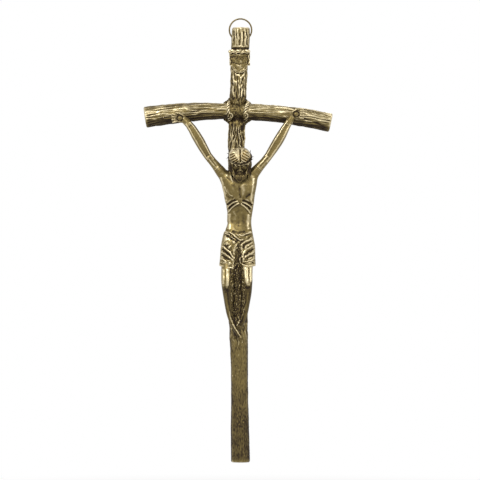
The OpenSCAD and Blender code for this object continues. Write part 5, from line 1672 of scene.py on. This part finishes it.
def scroll_clay():
    """Bare sheet with a tongue below and a rolled edge above."""
    clay = Clay((-5.9, -9.9, 21.2), (8.6, -6.2, 36.4), 0.14)
    xs, _, zs = clay.axes
    x, y, z = clay.at()
    cx = SCROLL_X
    wave = 0.24 * noise(x / 1.5, 0.5, z / 1.5, 92)
    plate = np.maximum(np.maximum(np.abs(x - cx) - 6.0, z - 34.4), 26.6 - z)
    u, w = (x - cx) / 4.6, (z - 26.9) / 4.7
    q = np.sqrt(u * u + w * w) + 1e-6
    tongue = (q - 1) * q / (np.sqrt((u / 4.6) ** 2 + (w / 4.7) ** 2) + 1e-6)
    h = np.maximum(0.9 - np.abs(plate - tongue), 0) / 0.9
    outline = np.minimum(plate, tongue) - h * h * 0.22 + wave
    bulge = -7.5 - 0.7 * hump(x - cx, 5.2, 4) - 0.22 * grain(x, 0.5, z, 2.4, 94) - 0.1 * grain(x, 0.5, z, 0.9, 95)
    strokes = [
        (0.36, 0.42, [(-4.4, 33.2), (-4.6, 30.6), (-4.2, 28.6), (-4.5, 27.0)]),
        (0.5, 0.45, [(7.0, 33.2), (6.7, 31.4), (7.2, 29.4), (6.8, 27.2)]),
        (0.14, 0.5, [(-4.3, 26.9), (-2.4, 26.2), (-1.0, 24.2), (cx, 22.8), (3.4, 24.0), (4.9, 26.1), (6.7, 26.9)]),
        (-0.4, 0.5, [(-4.2, 33.5), (7.0, 33.5)]), (-0.06, 0.9, [(-3.2, 31.6), (0.6, 32.2), (5.8, 31.5)]),
        (-0.12, 0.6, [(-3.0, 28.2), (1.4, 27.5), (5.6, 28.3)]), (0.2, 1.2, [(1.1, 26.0), (1.4, 24.4)]),
        (-0.35, 0.35, [(5.6, 27.2), (6.0, 29.6)]),
    ]
    face = bulge - strokes_height(xs, zs, strokes, 0.3)[:, None, :]
    solid = np.maximum(np.maximum(outline, face - y), y + SCROLL_BACK)
    clay.merge((slice(None),) * 3, solid, 0.0, False)
    roll = [
        (t, -7.75, 34.75 + 0.35 * math.sin(t * 1.5) + 0.16 * math.sin(t * 3.9 + 1), 0.95 + 0.14 * math.sin(t * 2.3))
        for t in np.linspace(-4.35, 6.45, 30)
    ]
    clay.limb(roll, 0.15)
    clay.limb([(t, -8.85, 33.95 + 0.25 * math.sin(t * 1.9 + 0.4), 0.22) for t in np.linspace(-4.2, 6.3, 24)], 0.2)
    clay.clip(y + SCROLL_BACK)
    clay.raise_by(0.05 * grain(x, y, z, 0.7, 93))
    return clay


def nail_mesh(x, z, seat, rear, seed):
    """Forged nail: a hammered dome in front of seat, and a shank back to rear."""
    rise = NAIL_HEAD_R * 0.55
    rows = [(0.1, seat - rise), (0.35, seat - rise * 0.97), (0.62, seat - rise * 0.86), (0.85, seat - rise * 0.68),
            (1.05, seat - rise * 0.45), (1.2, seat - rise * 0.2), (1.25, seat - 0.05), (1.18, seat + 0.02),
            (0.9, seat + 0.02), (0.54, seat + 0.04), (0.53, seat + 0.8), (0.53, rear - 0.7), (0.3, rear - 0.2),
            (0.08, rear)]
    sides = 48
    a = np.linspace(0, 2 * math.pi, sides, endpoint=False)
    rings = []
    for r, y in curve_through(rows, 60):
        dent = 0.05 * noise(r * np.cos(a) / 0.45, r * np.sin(a) / 0.45, y, seed) * (r > 0.2)
        rr = r * (1 + 0.02 * np.cos(3 * a + seed))
        rings.append(np.stack([x + rr * np.cos(a), np.full(sides, y) + dent, z + rr * np.sin(a)], axis=1))
    points, faces = closed_grid(rings)
    return points, faces[:, ::-1]


class CRUCIFIX_OT_scroll(bpy.types.Operator):
    """Models the small bare scroll near the top, its upper edge rolled"""

    bl_idname = "crucifix.scroll"
    bl_label = "Scroll"

    def execute(self, context):
        points, faces = scroll_clay().skin()
        x, y, z = points.T
        tone = 0.06 * smooth(33.4, 34.3, z) + 0.08 - 0.2 * smooth(8.6, 7.9, -y) * (z < 33)
        tone -= 0.16 * smooth(29.5, 31.5, z) * (z < 33.4)
        tone += 0.3 * hump(x - 1.2, 2.4) * hump(z - 25.6, 2.0)
        piece(
            "parchment_scroll", points, faces, "cross", ["title_scroll"], "Scroll brass", tone,
            scale=(26.0, 6.0),
        )
        return {"FINISHED"}


class CRUCIFIX_OT_corpus(bpy.types.Operator):
    """Models the trunk, the legs and the loincloth of the figure"""

    bl_idname = "crucifix.corpus"
    bl_label = "Body and loincloth"

    def execute(self, context):
        v = values().figure
        points, faces = trunk_clay(v).skin()
        x, y, z = points.T
        # Painted shade towards the back, where the trunk turns in to the cross, and at its top under the head;
        # TRUNK_SHADE adds painted highlights and painted shade
        tone = shade(points, TRUNK_SHADE, -11.0) - 0.25 * smooth(-10.5, -9, y) - 0.25 * smooth(-37.5, -33.5, z)
        tone += 0.2 * grain(x, y, z, 2.2, 78) - 0.06
        for arm, _, out in ARMS:
            tone -= 0.5 * hump(shoulder_cut(arm_rows(arm, out), x, z), 0.3)
        piece("figure_trunk", points, faces, "cross", ["corpus_body"], "Figure brass", tone)
        points, faces = loincloth_clay(v).skin()
        x, y, z = points.T
        # Painted shade towards the back, and CLOTH_SHADE's painted highlights and painted shade, over a random tone
        tone = shade(points, CLOTH_SHADE, -12.0) - 0.25 * smooth(-10.5, -9, y) + 0.2 * grain(x, y, z, 1.2, 76)
        rough = (0.3 * noise(x / 0.6, y / 0.6, z / 1.2, 71) - 0.16) * cleft(x, z)
        tone += rough * smooth(-74.5, -77, z) * smooth(-12, -14, y)
        piece(
            "loincloth", points, faces, "cross", ["corpus_body"], "Loincloth brass", tone,
            scale=(19.0, 5.0),
        )
        points, faces = legs_clay(v).skin()
        x, y, z = points.T
        # Painted shade below the knees and between the thighs, where knees() is nought, and towards the back;
        # LEGS_SHADE adds painted highlights and painted shade
        tone = shade(points, LEGS_SHADE, -13.0) - 0.5 * (1 - knees(x, z)) - 0.12 * smooth(-13, -11, y)
        rough = 0.9 * smooth(0.12, 0.5, noise(x / 0.6, y / 0.6, z / 1.2, 71)) - 0.02
        tone += rough * cleft(x, z) * smooth(-11, -13, y) + 0.12 * grain(x, y, z, 1.6, 73)
        piece("figure_legs", points, faces, "cross", ["corpus_body"], "Figure brass", tone)
        return {"FINISHED"}


class CRUCIFIX_OT_arms(bpy.types.Operator):
    """Models the two arms with their hands"""

    bl_idname = "crucifix.arms"
    bl_label = "Arms and hands"

    def execute(self, context):
        v = values().figure
        for name, node, (arm, palm, out) in (
            ("figure_left_arm", "left_arm", ARMS[0]), ("figure_right_arm", "right_arm", ARMS[1]),
        ):
            clay, rows = arm_clay(v, arm, palm, out)
            points, faces = clay.skin()
            x, z = points[:, 0], points[:, 2]
            reach = np.abs(x - FIGURE_X)
            tone = -0.35 * smooth(14.5, 9.5, reach) * smooth(0.5, 2.2, (z + 35.4) + (reach - 10) * -1.15)
            tone -= 0.32 * smooth(-7.5, -5.0, z) + 0.75 * hump(shoulder_cut(rows, x, z), 0.3)
            piece(name, points, faces, "cross", [node], "Figure brass", tone)
        return {"FINISHED"}


def face_glow(points):
    """Lightens the sockets of the eyes and darkens the beard, so that the face keeps one depth of patina and of the
    painted shade laid over it.
    """
    local = (points - HEAD_CENTRE) @ head_frame().T
    eyes = sum(np.exp(-((local - np.array([s * 1.95, -5.2, -1.7])) ** 2).sum(1) / 1.7 ** 2) for s in (-1, 1))
    return eyes - 0.5 * smooth(-5.4, -6.4, local[:, 2]) * smooth(-2.0, -3.5, local[:, 1])


def crown_mesh(v):
    """Three stems wound round each other, and twelve thorns."""
    parts = []
    a = np.linspace(0, 2 * math.pi, 120)
    for k in range(3):
        wind = a * 7 + k * 2.09
        reach = 6.5 + 0.26 * np.cos(wind) + 0.12 * np.sin(a * 5 + k * 2)
        lift = CROWN_LIFT + 0.34 * np.sin(wind) + 0.1 * np.sin(a * 3 + k)
        path = np.array([head_point(r * math.cos(t), r * math.sin(t), h) for r, t, h in zip(reach, a, lift)])
        parts.append(tube(path, 0.31, 10, bump=lambda q, k=k: 0.05 * noise(*(q.T * 2.6), 60 + k)))
    rng = np.random.default_rng(11)
    far = THORN_ROOT + v.thorn_length * 780
    for k in range(12):
        a = 2 * math.pi * (k + 0.25 * rng.random()) / 12
        up = 0.9 if k % 2 else -0.54
        root = head_point(THORN_ROOT * math.cos(a), THORN_ROOT * math.sin(a), CROWN_LIFT)
        tip = head_point(far * math.cos(a + 0.12), far * math.sin(a + 0.12), CROWN_LIFT + up * v.thorn_length * 700)
        parts.append(tube([root, root * 0.5 + tip * 0.5, tip], [0.3, 0.17, 0.05], 8))
    return join(parts)


class CRUCIFIX_OT_head(bpy.types.Operator):
    """Models the head with its hair and beard, and the crown of thorns"""

    bl_idname = "crucifix.head"
    bl_label = "Head and crown"

    def execute(self, context):
        v = values().figure
        points, faces = head_clay(v).skin()
        x, y, z = points.T
        lobes, right = smooth(-31.4, -30.2, z) * smooth(-19.5, -21.5, y), x > PARTING
        # Painted shade over the face below the crown, on everything but the lobes of hair, and at the temples; a
        # painted highlight on the two lobes, stronger on the right; the hair strokes add dark grooves and light
        # ridges
        tone = -0.26 * smooth(-30.2, -31.8, z) - 0.34 * (1 - lobes) + (1.2 + 0.4 * right) * lobes
        tone -= 0.2 * smooth(3.6, 5.0, np.abs(x - HEAD_CENTRE[0])) * smooth(-31, -33, z) * smooth(-38, -36, z)
        tone += (1 + 0.2 * right) * shade(points, HAIR, -20.4, 0.8, 0.1) + 0.3 * face_glow(points)
        tone += 0.75 * smooth(-36.5, -38.5, z) * (x < -2) + 0.14 * grain(x, y, z, 0.9, 72)
        piece(
            "figure_head", points, faces, "cross", ["corpus_head"], "Hair brass", tone,
            wear=(4, 18), scale=(26.0, 7.0),
        )
        points, faces = crown_mesh(v)
        lower = smooth(-20.0, -22.0, points[:, 1])
        edge = (points - HEAD_CENTRE) @ head_frame()[2] - CROWN_LIFT
        # Painted highlight along the crown's lower front edge, the rest of the stems and thorns darker
        tone = 2.1 * lower * smooth(0.05, -0.25, edge) - 0.4
        piece(
            "thorn_stems", points, faces, "cross", ["thorn_crown"], "Thorn brass", tone,
            scale=(2.5, 1.0),
        )
        return {"FINISHED"}


class CRUCIFIX_OT_nails(bpy.types.Operator):
    """Makes the nails of the hands and of the feet"""

    bl_idname = "crucifix.nails"
    bl_label = "Nails"

    def execute(self, context):
        for name, node, place, seat in (
            ("left_nail", "left_hand_nail", LEFT_PALM, LEFT_PALM[1] - PALM_T / 2 - 0.03),
            ("right_nail", "right_hand_nail", RIGHT_PALM, RIGHT_PALM[1] - PALM_T / 2 - 0.03),
            ("foot_nail_forged", "foot_nail", FOOT_NAIL, FOOT_NAIL[1]),
        ):
            _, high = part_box(node)
            points, faces = nail_mesh(place[0], place[2], seat, high[1] * MM, 41)
            tone = -0.75 if node == "foot_nail" else -0.15
            piece(name, points, faces, "cross", [node], "Nail brass", tone, wear=(3, 10))
        return {"FINISHED"}


# Where the camera looks, where the lamps aim, and the floor's half width and depth below the foot, in metres
VIEW_X, VIEW_Y, VIEW_Z = 0.001517, -0.006, -0.075168
LAMP_AIM = np.array([0.0015, 0.0, -0.06])
FLOOR_HALF, FLOOR_DROP = 3.0, 0.03


class CRUCIFIX_OT_studio(bpy.types.Operator):
    """Sets the floor, the lamps, the room and the camera"""

    bl_idname = "crucifix.studio"
    bl_label = "Studio"

    def execute(self, context):
        v = values().studio
        scene = context.scene
        scene.view_settings.view_transform = "Standard"
        mesh = bpy.data.meshes.new("floor")
        corners = [(x * FLOOR_HALF, y * FLOOR_HALF, 0) for x, y in ((-1, -1), (1, -1), (1, 1), (-1, 1))]
        mesh.from_pydata(corners, [], [(0, 1, 2, 3)])
        mesh.update()
        floor = bpy.data.objects.new("floor", mesh)
        floor.location = (0, 0, CAD_BOX[0][2] - FLOOR_DROP)
        scene.collection.objects.link(floor)
        mesh.materials.append(floor_material(v.floor))
        world = bpy.data.worlds.new("Pale room")
        scene.world = world
        world.use_nodes = True
        tree = world.node_tree
        back = tree.nodes["Background"]
        back.inputs["Color"].default_value = (1, 1, 1, 1)
        level = maths(tree, "ADD", maths(tree, "MULTIPLY", seen_directly(tree), 1 - v.fill), v.fill)
        wire(tree, (level, back.inputs["Strength"]))
        for name, place, size, power in (
            ("key", (-0.45, -1.0, 0.75), 0.55, v.key),
            ("side", (0.95, -0.75, 0.25), 0.5, v.key * 0.3),
            ("rim", (0.2, 0.7, 0.9), 0.5, v.key * 0.35),
        ):
            data = bpy.data.lights.new(name, "AREA")
            data.shape = "DISK"
            data.size = size
            data.energy = power
            lamp = bpy.data.objects.new(name, data)
            lamp.location = place
            lamp.rotation_euler = Vector(LAMP_AIM - np.array(place)).to_track_quat("-Z", "Y").to_euler()
            scene.collection.objects.link(lamp)
        data = bpy.data.cameras.new("front")
        data.lens = data.sensor_width * v.distance / v.frame_width
        data.clip_end = 20
        camera = bpy.data.objects.new("front", data)
        camera.location = (VIEW_X, VIEW_Y - v.distance, VIEW_Z)
        camera.rotation_euler = (math.radians(90), 0, 0)
        scene.collection.objects.link(camera)
        scene.camera = camera
        return {"FINISHED"}


def seen_directly(tree):
    """One for rays from the camera and through glossy or clear surfaces, nought for the others."""
    path = tree.nodes.new("ShaderNodeLightPath")
    seen = maths(tree, "ADD", path.outputs["Is Camera Ray"], path.outputs["Is Glossy Ray"])
    return maths(tree, "ADD", seen, path.outputs["Is Transmission Ray"], clamp=True)


def floor_material(colour):
    """Pale floor that runs out into the white of the room."""
    material = bpy.data.materials.new("Pale floor")
    material.use_nodes = True
    tree = material.node_tree
    shader = tree.nodes["Principled BSDF"]
    shader.inputs["Base Color"].default_value = (*colour, 1)
    shader.inputs["Roughness"].default_value = 0.9
    shader.inputs["Specular IOR Level"].default_value = 0.1
    where = tree.nodes.new("ShaderNodeTexCoord")
    far = tree.nodes.new("ShaderNodeVectorMath")
    far.operation = "LENGTH"
    wire(tree, (where.outputs["Object"], far.inputs[0]))
    edge = tree.nodes.new("ShaderNodeMapRange")
    edge.interpolation_type = "SMOOTHSTEP"
    edge.inputs["From Min"].default_value = 0.12
    edge.inputs["From Max"].default_value = 0.42
    wire(tree, (far.outputs["Value"], edge.inputs["Value"]))
    glow = tree.nodes.new("ShaderNodeEmission")
    glow.inputs["Color"].default_value = (1, 1, 1, 1)
    blend = tree.nodes.new("ShaderNodeMixShader")
    out = tree.nodes["Material Output"]
    wire(
        tree,
        (maths(tree, "MULTIPLY", edge.outputs["Result"], seen_directly(tree)), blend.inputs[0]),
        (shader.outputs[0], blend.inputs[1]), (glow.outputs[0], blend.inputs[2]),
        (blend.outputs[0], out.inputs["Surface"]),
    )
    return material


STEPS = ("logs", "lashings", "hanger", "scroll", "corpus", "arms", "head", "nails", "studio")


class CRUCIFIX_PT_panel(bpy.types.Panel):
    """Sizes and colours of the crucifix, and a button for each of its pieces"""

    bl_idname = "CRUCIFIX_PT_panel"
    bl_label = "Crucifix"
    bl_space_type = "VIEW_3D"
    bl_region_type = "UI"
    bl_category = "Crucifix"

    def draw(self, context):
        for title, group in (
            ("Logs", "logs"), ("Lashings", "ropes"), ("Figure", "figure"), ("Finish", "finish"), ("Studio", "studio"),
        ):
            box = self.layout.box()
            box.label(text=title)
            owner = getattr(context.scene.crucifix, group)
            for key in owner.__annotations__:
                box.prop(owner, key)
        for step in STEPS:
            self.layout.operator("crucifix." + step)


CLASSES = [
    CrossLogs, CrossRopes, CrossFigure, CrossFinish, CrossStudio, CrossValues,
    CRUCIFIX_OT_logs, CRUCIFIX_OT_lashings, CRUCIFIX_OT_hanger, CRUCIFIX_OT_scroll,
    CRUCIFIX_OT_corpus, CRUCIFIX_OT_arms, CRUCIFIX_OT_head, CRUCIFIX_OT_nails, CRUCIFIX_OT_studio,
    CRUCIFIX_PT_panel,
]


def register():
    for c in CLASSES:
        bpy.utils.register_class(c)
    bpy.types.Scene.crucifix = PointerProperty(type=CrossValues)


def unregister():
    del bpy.types.Scene.crucifix
    for c in reversed(CLASSES):
        bpy.utils.unregister_class(c)


def main():
    register()
    for step in STEPS:
        getattr(bpy.ops.crucifix, step)()
    for node in frame["nodes"].values():
        if not node.hide_render:
            for slot in node.material_slots:
                slot.material = brass("Pin brass")


if __name__ == "__main__":
    main()
